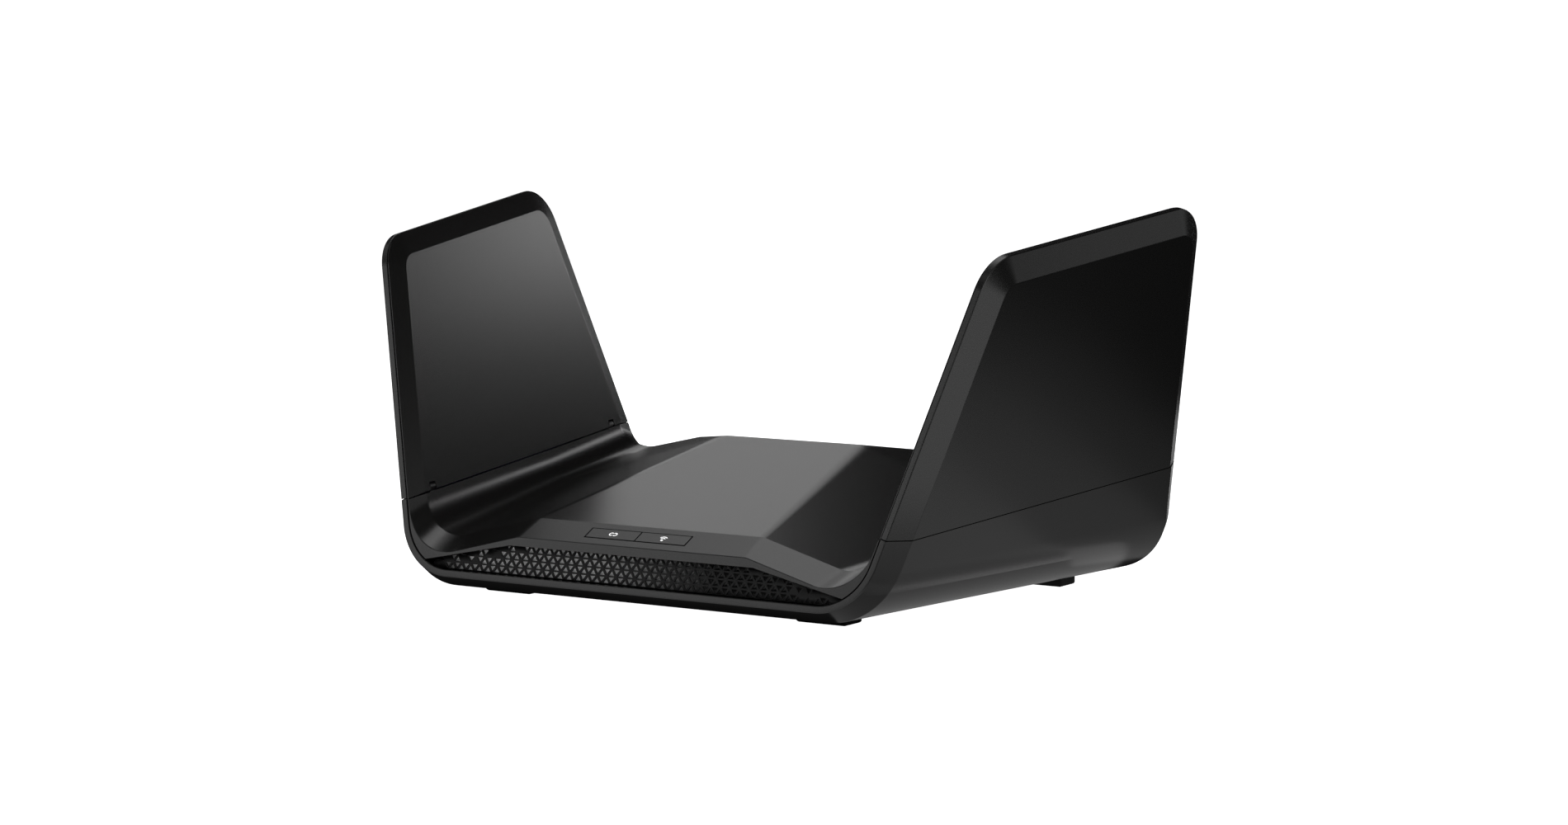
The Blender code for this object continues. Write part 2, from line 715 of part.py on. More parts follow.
def make_front_buttons():
    """Two push buttons on the front band, their switches and the board under them."""
    band = band_frame()
    wide = BUTTON_WIDTH / 2
    deep = BUTTON_DEPTH / 2
    plunger = STEM_TIP - PRESS_GAP
    for sign, tag in ((-1, "pairing"), (1, "wifi")):
        x = BUTTON_SHIFT + sign * (BUTTON_WIDTH + BUTTON_GAP) / 2
        place = band @ Matrix.Translation((x, BUTTON_ALONG, 0))
        under = FLANGE_N - FLANGE_THICK
        button = stepped("button_" + tag, [(2.2, 1.6, STEM_TIP), (2.2, 1.6, under),
                         (wide, deep + 0.8, under), (wide, deep + 0.8, FLANGE_N),
                         (wide, deep, FLANGE_N), (wide, deep, BUTTON_PROUD)],
                         BLACK_SATIN, place)
        put_origin(button, place.translation)
        stepped("button_switch_" + tag, [(3.0, 2.6, plunger - SWITCH_HIGH),
                (3.0, 2.6, plunger - 0.5), (1.5, 1.5, plunger - 0.5), (1.5, 1.5, plunger)],
                TIN, place)
    high = plunger - SWITCH_HIGH - GAP
    place = band @ Matrix.Translation((BUTTON_SHIFT, BUTTON_ALONG, 0))
    stepped("button_board", [(25.0, 4.2, high - 1.2), (25.0, 4.2, high)], BOARD_GREEN, place)


# ---- rear ----------------------------------------------------------------------------
def make_port(name, x, size, look, holes):
    """A socket on the board, open at the rear; holes are (half width, low, high, deep)."""
    width, height, depth = size
    back = PANEL_Y + JACK_LIFT
    socket = box(name, (x - width / 2, back - depth, DECK),
                 (x + width / 2, back, DECK + height), look)
    for half, bottom, top, deep in holes:
        hole = box_mesh((x - half, back - deep, DECK + bottom), (x + half, back + 1, DECK + top))
        boolean(socket, hole)
    return socket


def make_ports():
    """Network, USB and power sockets."""
    back = PANEL_Y + JACK_LIFT
    jack = [(5.9, 3.4, 11.0, 14.5), (3.2, 1.6, 3.6, 14.5)]
    make_port("wan_jack", WAN_X, JACK_SIZE, TIN, jack)
    for i, x in enumerate(LAN_X):
        make_port("lan_jack_%d" % (i + 1), x, JACK_SIZE, TIN, jack)
    for i, x in enumerate(USB_X):
        port = make_port("usb_port_%d" % (i + 1), x, USB_SIZE, TIN, [(6.2, 1.0, 6.1, 12.5)])
        tongue = box_mesh((x - 5.4, back - 13.5, DECK + 4.0), (x + 5.4, back - 2.5, DECK + 5.6))
        boolean(port, tongue, "UNION")
    socket = make_port("dc_jack", DC_X, DC_SIZE, BLACK_MATT, [])
    middle = DECK + 6.4
    boolean(socket, rod_mesh((DC_X, back - 10, middle), (DC_X, back + 1, middle), 3.0))
    boolean(socket, rod_mesh((DC_X, back - 11, middle), (DC_X, back - 1.5, middle), 1.0),
            "UNION")


def make_rear_panel():
    """The port panel, with its cut-outs and a row of air slots above the ports."""
    low = RIM_Z - LIP + 0.1 + GAP
    half = [(81.0, 43.8), (110.0, 37.6), (113.0, 33.5), (111.5, 24.0), (106.0, 16.0),
            (98.0, low)]
    outline = [(-x, z) for x, z in reversed(half)] + half
    rings = [[Vector((x, y, z)) for x, z in outline] for y in (PANEL_Y - PANEL_THICK, PANEL_Y)]
    panel = loft("rear_panel", rings, BLACK_MATT)

    def window(x, half, bottom, top):
        boolean(panel, box_mesh((x - half, PANEL_Y - 5, bottom), (x + half, PANEL_Y + 5, top)))

    sockets = [(x, JACK_SIZE) for x in LAN_X + [WAN_X]]
    sockets += [(x, USB_SIZE) for x in USB_X] + [(DC_X, DC_SIZE)]
    for x, size in sockets:
        window(x, size[0] / 2 + GAP, DECK - GAP, DECK + size[1] + GAP)
    window(SWITCH_X, SLIDE_HALF, DECK + 2.5, DECK + 5.5)
    for x, radius in ((RESET_X, 1.4), (POWER_X, 4.1)):
        boolean(panel, rod_mesh((x, PANEL_Y - 5, CONTROL_Z), (x, PANEL_Y + 5, CONTROL_Z), radius))
    for i in range(15):
        window((i - 7) * 9.0, 3.2, 35.0, 37.6)


def turned(name, x, look, profile):
    """A round piece about a line along Y; profile is (radius, y) from the inside out."""
    sides = 18
    rings = []
    for radius, y in profile:
        rings.append([Vector((x + radius * math.cos(math.tau * k / sides), y,
                              CONTROL_Z + radius * math.sin(math.tau * k / sides)))
                      for k in range(sides)])
    piece = finish(skin(rings), name, look)
    put_origin(piece, (x, PANEL_Y, CONTROL_Z))


def make_rear_controls():
    """Power button, reset button and light switch, each with the body of its switch."""
    inside = PANEL_Y - PANEL_THICK
    turned("power_button", POWER_X, BLACK_SATIN,
           [(2.4, inside - 5.5), (2.4, inside - 2.6), (4.9, inside - 2.6),
            (4.9, inside - 1.5), (3.8, inside - 1.5), (3.8, PANEL_Y + 1.2)])
    face = inside - 5.5 - POWER_TRAVEL_GAP
    box("power_switch", (POWER_X - 4.0, face - 9.0, DECK), (POWER_X + 4.0, face, DECK + 11.0),
        BLACK_MATT)
    turned("reset_button", RESET_X, BLACK_MATT,
           [(1.9, inside - 3.0), (1.9, inside - 1.2), (1.0, inside - 1.2),
            (1.0, PANEL_Y - 1.2)])
    face = inside - 3.0 - PRESS_GAP
    box("reset_switch", (RESET_X - 3.0, face - 5.7, DECK), (RESET_X + 3.0, face, DECK + 9.0),
        TIN)
    box("light_switch", (SWITCH_X - 6.0, inside - 8.0, DECK),
        (SWITCH_X + 6.0, inside - 1.8, DECK + 8.0), TIN)
    slider = box("light_slider", (SWITCH_X - 3.5, inside - 1.4, DECK + 3.0),
                 (SWITCH_X - 0.5, PANEL_Y + 1.0, DECK + 5.0), BLACK_MATT)
    put_origin(slider, (SWITCH_X - 2.0, PANEL_Y, DECK + 4.0))


# ---- boards, shields and cooling ------------------------------------------------------
def make_board():
    """The main board, notched round the posts, with three shields."""
    top = BOARD_Z + BOARD_THICK
    rear = PANEL_Y - PANEL_THICK - GAP
    board = box("main_board", (-BOARD_HALF_X, BOARD_FRONT, BOARD_Z), (BOARD_HALF_X, rear, top),
                BOARD_GREEN)
    for inner, outer in ((-104.5, 1 - BOARD_HALF_X), (BOARD_HALF_X - 1, 104.5)):
        boolean(board, box_mesh((inner, 58.0, BOARD_Z), (outer, rear, top)), "UNION")
    for x, y in SCREWS:
        boolean(board, rod_mesh((x, y, 0), (x, y, 30), 4.2))
    shields = (("radio_left", -56.0, -6.0, 44.0, 52.0),
               ("radio_right", 56.0, -6.0, 44.0, 52.0),
               ("processor", 0.0, -30.0, 46.0, 38.0))
    for tag, x, y, wide, deep in shields:
        can = box("shield_" + tag, (x - wide / 2, y - deep / 2, top + GAP),
                  (x + wide / 2, y + deep / 2, top + SHIELD_HIGH), TIN)
        boolean(can, box_mesh((x - wide / 2 + 1, y - deep / 2 + 1, 0),
                              (x + wide / 2 - 1, y + deep / 2 - 1, top + SHIELD_HIGH - 1)))


def make_heat_sink():
    """A finned heat sink over the processor and a spreader plate under the board."""
    low = BOARD_Z + BOARD_THICK + SHIELD_HIGH + GAP
    root = low + 2.0
    high = low + 8.0
    step = 2 * SINK_HALF / (SINK_FINS * 2 - 1)
    outline = [(-SINK_HALF, low), (SINK_HALF, low), (SINK_HALF, high)]
    for i in range(SINK_FINS - 1):
        x = SINK_HALF - 2 * i * step
        outline += [(x - step, high), (x - step, root), (x - 2 * step, root),
                    (x - 2 * step, high)]
    outline.append((-SINK_HALF, high))
    rings = [[Vector((x, y, z)) for x, z in outline] for y in (-50.0, 10.0)]
    loft("heat_sink", rings, ALUMINIUM)
    plate = BOARD_Z - 2.0
    box("heat_spreader", (-70.0, -48.0, plate - 1.4), (70.0, 48.0, plate), ALUMINIUM)
    box("thermal_pad", (-20.0, -45.0, plate + 0.1), (20.0, -5.0, BOARD_Z - 0.1), RUBBER)


# ---- feet and screws -------------------------------------------------------------------
def make_feet():
    """Rubber feet on the floor of the body."""
    names = ("front_left", "front_right", "rear_left", "rear_right")
    wide, deep = FOOT_SIZE
    high = RIM_Z - OUTER - 0.1
    for tag, (x, y) in zip(names, FEET):
        place = Matrix.Translation((x, y, 0))
        stepped("foot_" + tag, [(wide / 2 - 0.6, deep / 2 - 0.6, 0.0), (wide / 2, deep / 2, 0.6),
                (wide / 2, deep / 2, high)], RUBBER, place)


def make_screws():
    """Screws that hold the two shells together from below."""
    head = RIM_Z - OUTER + 0.1
    sides = 16
    for i, (x, y) in enumerate(SCREWS):
        profile = [(SCREW_HEAD, head), (SCREW_HEAD, head + 0.7), (SCREW_RADIUS, head + 0.7),
                   (SCREW_RADIUS, head + 12.0)]
        rings = [[Vector((x + r * math.cos(math.tau * k / sides),
                          y + r * math.sin(math.tau * k / sides), z)) for k in range(sides)]
                 for r, z in profile]
        loft("case_screw_%d" % (i + 1), rings, STEEL)


def make():
    """Build every piece."""
    reset()
    make_bottom_shell()
    cut_top_shell(make_top_shell())
    make_wings()
    make_grille()
    make_front_buttons()
    make_ports()
    make_rear_panel()
    make_rear_controls()
    make_board()
    make_heat_sink()
    make_feet()
    make_screws()


make()
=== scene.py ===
"""Looks of the winged wireless router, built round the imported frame.

Lengths are in millimetres and become metres when a mesh is made. The body is a U whose
front and rear rims lie in two raked planes. A point of it is given by its inset from a
rim plane and by its offset n from the rim's surface, positive on the outer side.
"""
import json
import math

import bmesh
import bpy
from mathutils import Matrix, Vector


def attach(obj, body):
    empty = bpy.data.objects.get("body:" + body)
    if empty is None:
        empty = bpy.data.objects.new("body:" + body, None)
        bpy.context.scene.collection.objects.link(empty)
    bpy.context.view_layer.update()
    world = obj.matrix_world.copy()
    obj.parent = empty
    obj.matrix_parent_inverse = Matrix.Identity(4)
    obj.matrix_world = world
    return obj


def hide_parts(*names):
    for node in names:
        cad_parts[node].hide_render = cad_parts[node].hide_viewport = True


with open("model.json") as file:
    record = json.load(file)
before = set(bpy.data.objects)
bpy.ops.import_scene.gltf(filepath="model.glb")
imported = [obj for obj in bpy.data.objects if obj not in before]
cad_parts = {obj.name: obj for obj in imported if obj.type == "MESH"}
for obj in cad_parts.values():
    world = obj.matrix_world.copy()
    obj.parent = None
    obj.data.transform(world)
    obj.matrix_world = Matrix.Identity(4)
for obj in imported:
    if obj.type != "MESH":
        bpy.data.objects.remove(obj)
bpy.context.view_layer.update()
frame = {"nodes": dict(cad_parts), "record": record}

MM = 0.001
GAP = 0.3

# ---- the same numbers as the CAD part ------------------------------------------------
HALF_DEPTH = 101.7        # rim planes at the height RIM_Z, front and rear
RIM_Z = 8.8               # height of the rim along the floor
FRONT_RAKE = 0.2395       # the front plane leans back with height
REAR_RAKE = 0.2716        # the rear plane leans forward with height
WING_X = 113.8            # half width where the wing plane meets y = 0, z = 0
WING_TOE = 0.1083         # the wings spread towards the rear
WING_LEAN = 0.2657        # the wings lean outwards with height
RIM_FILLET = 25.0
BAND = 9.5                # width of the bevelled bands along every rim
OUTER = 5.0               # the outer panel stands proud of the rim
INNER = -5.0              # the inner panel
EDGE = 0.4                # outer edge of the narrow rim face
LIP = -2.2                # inner edge of the rim face
WALL = 2.0
LIP_WALL = 1.5            # the bottom shell's lip, front to rear
LEDGE = 0.2               # the lip ends this far outside the rim surface
BAND_INSIDE = BAND + 0.8  # the inner edge of a bevelled band on a wall's hidden side
SKIN_WALL = 1.8
SKIN_N = LIP - 0.5        # the top shell's rim, next to the lip of the bottom shell
BAND_EDGE_N = -3.1        # the outer edge of the inner bands
SEAM_FRONT_Z = 36.6
SEAM_REAR_Z = 50.5
TOP_FRONT_Z = 139.2
TOP_REAR_Z = 156.2
CORNER_RADIUS = 18.0
SEAM_GAP = 0.2            # each side of the seam
SKIN_DROP = -0.5          # top edge of the body's inner skin, below the seam
AXIS_UP = 1.6             # the axis lies this far above the seam
AXIS_N = INNER + 1.6      # and is tangent to the inner panel
LUGS = (17.0, 168.7)      # along the seam
LUG_WIDTH = 4.0
LUG_DEPTH = 11.5          # the lug's neck reaches this far below the seam
BOSS = 7.0                # half length of the bosses that turn on a pin
BOSS_N = -1.4             # outer side of the bosses
BOSS_TOP = 4.4
PIN_HOLE = 0.82
PIN_HOLE_HALF = 5.5
LIP_TOP_Z = 26.1          # upper edge of the front lip
LIP_X = 53.6
PLATEAU_FRONT_Z = 32.4
PLATEAU_FRONT_X = 52.8
PLATEAU_INSET = 11.4      # from the front plane to the plateau
FRONT_SLOPE = -0.256
OPENING_TOP_Z = 22.7
OPENING_X = 57.0
OPENING_END = math.radians(30)
CREST_Z = 57.2            # the plateau rises to a crest behind the middle
CREST_X = 34.0
CREST_INSET = 107.6
CREST_SLOPE = -0.30
REAR_LIP_Z = 43.0
REAR_LIP_X = 93.0
PLATEAU_REAR_Z = 47.0
PLATEAU_REAR_X = 92.6
REAR_INSET = 5.0
REAR_SLOPE = -0.223
PORT_TOP_Z = 41.0
PORT_X = 82.0
PORT_END_Z = 33.0
LIP_FILLET = 21.0
PLATEAU_FILLET = 18.0
CREST_FILLET = 11.5
REAR_FILLET = 11.5
REAR_LIP_FILLET = 13.0
BUTTON_WIDTH = 23.1
BUTTON_DEPTH = 5.9
BUTTON_GAP = 0.35
BUTTON_ALONG = 7.3        # from the lip up the band
BUTTON_SHIFT = -0.6
PANEL_Y = 86.0            # rear face of the port panel
JACK_LIFT = 0.5           # sockets stand proud of the panel
DECK = 14.5               # the sockets stand on this height
LAN_X = [34.0 - 17.2 * i for i in range(5)]
WAN_X = -55.0
USB_X = [82.0, 60.0]
SCREWS = [(-46.0, -68.0), (46.0, -68.0), (-66.0, 61.0), (66.0, 61.0)]
SCREW_RADIUS = 1.4
SCREW_HEAD = 3.0
VENT_COLUMNS = 8          # air slots in the floor
VENT_ROWS = 3
VENT_PITCH = 11.0
VENT_ROW_PITCH = 30.0
VENT_HALF = (1.5, 11.0)

# ---- steps of the finer roundings ----------------------------------------------------
ARC = 28                  # round the long fillets
TURN = 14                 # round a wing's corner
CREASE = 5                # across the plateau's side crease
ROUND = 4                 # round a short edge


# ---- materials -----------------------------------------------------------------------
class Look:
    """A node material under construction."""

    def __init__(self, name):
        self.material = bpy.data.materials.new(name)
        self.material.use_nodes = True
        self.tree = self.material.node_tree
        self.shader = self.tree.nodes["Principled BSDF"]
        self.place = self.add("ShaderNodeTexCoord").outputs["Object"]

    def add(self, kind, **values):
        node = self.tree.nodes.new(kind)
        for key, value in values.items():
            setattr(node, key, value)
        return node

    def link(self, out, to):
        self.tree.links.new(out, to)

    def noise(self, scale, detail=2.0, stretch=None, rough=0.5):
        """Noise in the object's own space; stretch squeezes it along an axis."""
        node = self.add("ShaderNodeTexNoise")
        node.inputs["Scale"].default_value = scale
        node.inputs["Detail"].default_value = detail
        node.inputs["Roughness"].default_value = rough
        place = self.place
        if stretch:
            mapping = self.add("ShaderNodeMapping")
            mapping.inputs["Scale"].default_value = stretch
            self.link(self.place, mapping.inputs["Vector"])
            place = mapping.outputs["Vector"]
        self.link(place, node.inputs["Vector"])
        return node.outputs["Fac"]

    def span(self, value, low, high, start=0.3, end=0.7):
        """A value mapped from start..end to low..high."""
        node = self.add("ShaderNodeMapRange")
        node.inputs["From Min"].default_value = start
        node.inputs["From Max"].default_value = end
        node.inputs["To Min"].default_value = low
        node.inputs["To Max"].default_value = high
        self.link(value, node.inputs["Value"])
        return node.outputs["Result"]

    def ramp(self, value, stops):
        """A colour ramp through (position, colour) stops."""
        node = self.add("ShaderNodeValToRGB")
        ramp = node.color_ramp
        while len(ramp.elements) < len(stops):
            ramp.elements.new(0.5)
        for element, (position, colour) in zip(ramp.elements, stops):
            element.position = position
            element.color = (*colour, 1.0)
        self.link(value, node.inputs["Fac"])
        return node.outputs["Color"]

    def colour(self, out):
        self.link(out, self.shader.inputs["Base Color"])

    def rough(self, out):
        self.link(out, self.shader.inputs["Roughness"])

    def bump(self, height, strength, distance):
        node = self.add("ShaderNodeBump")
        node.inputs["Strength"].default_value = strength
        node.inputs["Distance"].default_value = distance
        self.link(height, node.inputs["Height"])
        self.link(node.outputs["Normal"], self.shader.inputs["Normal"])

    def glow(self, strength):
        """A plain white glow on top of the rest."""
        self.shader.inputs["Emission Color"].default_value = (1.0, 1.0, 1.0, 1.0)
        self.shader.inputs["Emission Strength"].default_value = strength


def grey(value, warm=0.0):
    """A grey with a slight warm or cool tint."""
    return (value * (1 + warm), value, value * (1 - warm))


def moulded(name, value, roughness, spread=0.015, grain=5200.0, depth=0.003, warm=0.0,
            specular=0.5):
    """Moulded plastic: spark-eroded grain, slow drifts of tone and gloss."""
    look = Look(name)
    look.shader.inputs["Specular IOR Level"].default_value = specular
    drift = look.noise(9.0, 3.0)
    look.colour(look.ramp(drift, [(0.3, grey(value * 0.9, warm)), (0.7, grey(value * 1.12, warm))]))
    fine = look.noise(1400.0, 3.0)
    look.rough(look.span(fine, roughness - spread, roughness + spread))
    look.bump(look.noise(grain, 2.0), 0.35, depth * MM)
    return look


def metal(name, colour, roughness, stretch, scale=900.0, depth=0.01):
    """Drawn or rolled metal with fine lines along one axis."""
    look = Look(name)
    look.shader.inputs["Metallic"].default_value = 1.0
    lines = look.noise(scale, 4.0, stretch)
    dark = tuple(0.82 * c for c in colour)
    look.colour(look.ramp(lines, [(0.3, dark), (0.7, colour)]))
    look.rough(look.span(lines, roughness - 0.08, roughness + 0.08))
    look.bump(lines, 0.3, depth * MM)
    return look


def board_look():
    """Solder mask over copper: traces show as slightly lighter bands."""
    look = Look("solder_mask")
    cells = look.add("ShaderNodeTexVoronoi", feature="DISTANCE_TO_EDGE")
    cells.inputs["Scale"].default_value = 240.0
    look.link(look.place, cells.inputs["Vector"])
    look.colour(look.ramp(cells.outputs["Distance"],
                          [(0.04, (0.02, 0.10, 0.05)), (0.10, (0.006, 0.045, 0.022))]))
    look.rough(look.span(look.noise(800.0), 0.3, 0.45))
    look.bump(cells.outputs["Distance"], 0.2, 0.03 * MM)
    return look


def shaded_insert_look():
    """The grille's inner sheet: grey with painted light and shade along x, dark at the far left
    end, light grey across the left and middle, darkening to black towards the right end.
    """
    look = Look("grille_insert_painted_light_and_shade")
    split = look.add("ShaderNodeSeparateXYZ")
    look.link(look.place, split.inputs["Vector"])
    along = look.span(split.outputs["X"], 0.0, 1.0, -0.09, 0.09)
    speck = look.noise(2600.0, 2.0)
    mixed = look.add("ShaderNodeMath", operation="MULTIPLY_ADD")
    look.link(speck, mixed.inputs[0])
    mixed.inputs[1].default_value = 0.06
    look.link(along, mixed.inputs[2])
    # painted light and shade: the ramp lights the sheet on the left and shades it to black towards
    # the right
    look.colour(look.ramp(mixed.outputs["Value"], [
        (0.02, grey(0.10)), (0.10, grey(0.92)), (0.45, grey(0.88)), (0.62, grey(0.25)),
        (0.74, grey(0.006))]))
    look.rough(look.span(speck, 0.42, 0.56))
    look.bump(speck, 0.2, 0.01 * MM)
    return look


LOOKS = {
    "satin": moulded("satin_black_abs", 0.008, 0.25, warm=0.02),
    "panel": moulded("satin_black_panel", 0.007, 0.28, warm=0.01),
    "matt": moulded("matt_black_abs", 0.006, 0.5, grain=3200.0, depth=0.01),
    "lattice": moulded("grille_black_abs", 0.004, 0.5, specular=0.3),
    # painted shade: the black of the strip laid in the button gap
    "shadow": moulded("painted_gap_shade", 0.002, 0.9, specular=0.05),
    "rubber": moulded("black_rubber", 0.004, 0.7, spread=0.08, grain=1800.0, depth=0.03,
                      specular=0.25),
    "steel": metal("turned_steel", (0.55, 0.55, 0.56), 0.32, (1.0, 0.05, 1.0)),
    "tin": metal("tinned_sheet", (0.60, 0.60, 0.59), 0.36, (0.2, 1.0, 1.0), 500.0),
    "alu": metal("extruded_aluminium", (0.66, 0.67, 0.69), 0.42, (1.0, 0.04, 1.0)),
    "gold": metal("gold_plate", (0.83, 0.58, 0.22), 0.28, (0.3, 1.0, 1.0), 2000.0, 0.002),
    "board": board_look(),
    "insert": shaded_insert_look(),
    # white print; the marks that use it are also given a painted glow
    "print": moulded("white_print_painted_glow", 0.80, 0.45, spread=0.05),
}


# ---- mesh helpers --------------------------------------------------------------------
def keep(mesh, name, look, body, nodes=(), smooth=24.0):
    """Turn a bmesh in millimetres into a piece that rides on a body."""
    bmesh.ops.scale(mesh, vec=(MM, MM, MM), verts=mesh.verts)
    data = bpy.data.meshes.new(name)
    mesh.to_mesh(data)
    mesh.free()
    data.shade_smooth()
    data.set_sharp_from_angle(angle=math.radians(smooth))
    piece = bpy.data.objects.new(name, data)
    bpy.context.scene.collection.objects.link(piece)
    data.materials.append(LOOKS[look].material)
    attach(piece, body)
    if nodes:
        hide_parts(*nodes)
    return piece


def flat_shading(piece):
    """Keep big faces flat where they meet small roundings."""
    step = piece.modifiers.new("flat_faces", "WEIGHTED_NORMAL")
    step.keep_sharp = True
    step.weight = 100


def slerp(first, second, t):
    """A direction and length between two vectors."""
    angle = first.angle(second, 0.0)
    if angle < 1e-6:
        return first.lerp(second, t)
    return (first * math.sin((1 - t) * angle) + second * math.sin(t * angle)) / math.sin(angle)


def round_line(points, radii, steps=4):
    """A line through points, with a corner of each point's radius; 0 keeps it sharp."""
    line = []
    for i, point in enumerate(points):
        if radii[i] <= 0:
            line.append(point.copy())
            continue
        back = points[i - 1] - point
        on = points[(i + 1) % len(points)] - point
        half = back.angle(on) / 2
        reach = min(radii[i] / math.tan(half), 0.45 * min(back.length, on.length))
        radius = reach * math.tan(half)
        back.normalize()
        on.normalize()
        centre = point + (back + on).normalized() * radius / math.sin(half)
        start = point + back * reach - centre
        end = point + on * reach - centre
        line += [centre + slerp(start, end, k / steps) for k in range(steps + 1)]
    return line


def skin(rings, caps=True, closed=True):
    """A bmesh lofted through rings of points, which all have the same length."""
    mesh = bmesh.new()
    rows = [[mesh.verts.new(point) for point in ring] for ring in rings]
    count = len(rows[0])
    for low, high in zip(rows, rows[1:]):
        for i in range(count if closed else count - 1):
            j = (i + 1) % count
            mesh.faces.new((low[i], low[j], high[j], high[i]))
    if caps:
        mesh.faces.new(rows[0])
        mesh.faces.new(rows[-1])
        bmesh.ops.recalc_face_normals(mesh, faces=mesh.faces)
    return mesh


def box_mesh(low, high):
    """A bmesh box between two corners."""
    mesh = bmesh.new()
    bmesh.ops.create_cube(mesh, size=1.0)
    bmesh.ops.scale(mesh, vec=[high[i] - low[i] for i in range(3)], verts=mesh.verts)
    bmesh.ops.translate(mesh, vec=[(high[i] + low[i]) / 2 for i in range(3)], verts=mesh.verts)
    return mesh


def rod_mesh(start, end, radius, sides=24):
    """A bmesh cylinder between two points."""
    start = Vector(start)
    end = Vector(end)
    mesh = bmesh.new()
    bmesh.ops.create_cone(mesh, cap_ends=True, segments=sides, radius1=radius,
                          radius2=radius, depth=(end - start).length)
    turn = (end - start).to_track_quat("Z", "Y").to_matrix().to_4x4()
    bmesh.ops.transform(mesh, matrix=Matrix.Translation((start + end) / 2) @ turn,
                        verts=mesh.verts)
    return mesh


def carve(piece, steps, smooth=24.0):
    """Cut or join bmeshes in millimetres, and keep the result as the piece's own mesh."""
    made = []
    for mesh, operation in steps:
        bmesh.ops.scale(mesh, vec=(MM, MM, MM), verts=mesh.verts)
        data = bpy.data.meshes.new("carver")
        mesh.to_mesh(data)
        mesh.free()
        carver = bpy.data.objects.new("carver", data)
        bpy.context.scene.collection.objects.link(carver)
        carver.hide_render = True
        modifier = piece.modifiers.new("carve", "BOOLEAN")
        modifier.operation = operation
        modifier.object = carver
        modifier.solver = "EXACT"
        made.append(carver)
    bpy.context.view_layer.update()
    graph = bpy.context.evaluated_depsgraph_get()
    result = bpy.data.meshes.new_from_object(piece.evaluated_get(graph))
    piece.modifiers.clear()
    piece.data = result
    result.shade_smooth()
    result.set_sharp_from_angle(angle=math.radians(smooth))
    for carver in made:
        bpy.data.objects.remove(carver, do_unlink=True)


# ---- the U and its rims --------------------------------------------------------------
def rim_y(end, z):
    """The y of a rim plane at height z; end is -1 at the front and 1 at the rear."""
    rake = FRONT_RAKE if end < 0 else REAR_RAKE
    return end * (HALF_DEPTH - rake * (z - RIM_Z))


STRETCH = math.sqrt(1 + WING_TOE ** 2 + WING_LEAN ** 2)


def wing_x(y, z, n=0.0):
    """The x of the right wing's rim surface, offset outwards by n."""
    return WING_X + WING_TOE * y + WING_LEAN * z + n * STRETCH


def rim_point(end, z):
    """A corner of the right wing's rim."""
    y = rim_y(end, z)
    return Vector((wing_x(y, z), y, z))


SEAM_START = rim_point(-1, SEAM_FRONT_Z)
NORMAL = Vector((1, -WING_TOE, -WING_LEAN)).normalized()
ALONG = (rim_point(1, SEAM_REAR_Z) - SEAM_START).normalized()
UP = NORMAL.cross(ALONG)


def wing_point(a, w, n):
    """A point of the right wing: along the seam, up the wing, outwards."""
    return SEAM_START + a * ALONG + w * UP + n * NORMAL


def mirrored(points):
    """The same points on the left side."""
    return [Vector((-p.x, p.y, p.z)) for p in points]


def both_sides(line):
    """A line over the whole width: the left half mirrored, then the right half."""
    return mirrored(line)[:0:-1] + line


def section(end, inset, n, floor, slope, radius, top, crease=0.0):
    """Points of a line along one rim on the right half: floor, crease, slope, fillet, wall."""
    rake = (FRONT_RAKE if end < 0 else REAR_RAKE) * -end

    def y_at(z):
        return rim_y(end, z) - end * inset

    lean = WING_LEAN + WING_TOE * rake
    base = wing_x(y_at(0.0), 0.0, n)
    px, pz = floor[-1]
    corner_x = (base + lean * (pz - slope * px)) / (1 - lean * slope)
    corner = Vector((corner_x, pz + slope * (corner_x - px)))
    go = Vector((1, slope)).normalized()
    turn = go.angle(Vector((lean, 1)).normalized())
    start = corner - go * radius * math.tan(turn / 2)
    centre = start + Vector((-go.y, go.x)) * radius
    tilt = math.atan(slope)
    flat = [Vector(point) for point in floor]
    if crease:
        bend = round_line([flat[0], flat[-1], start], [0, crease, 0], CREASE)
        flat = flat[:-1] + bend[1:-1]
    for i in range(ARC + 1):
        angle = tilt + turn * i / ARC
        flat.append(Vector((centre.x + radius * math.sin(angle),
                            centre.y - radius * math.cos(angle))))
    points = [Vector((x, y_at(z), z)) for x, z in flat]
    low = points[-1]
    step = Vector((lean, rake, 1.0))
    rest = top - (low - SEAM_START).dot(UP)
    points.append(low + step * rest / step.dot(UP))
    return points


def rim_section(end, inset, n):
    """A line of the bottom shell: flat floor, fillet, wall."""
    return section(end, inset, n, [(0.0, RIM_Z - n), (60.0, RIM_Z - n)], 0.0,
                   RIM_FILLET + n, -SEAM_GAP)


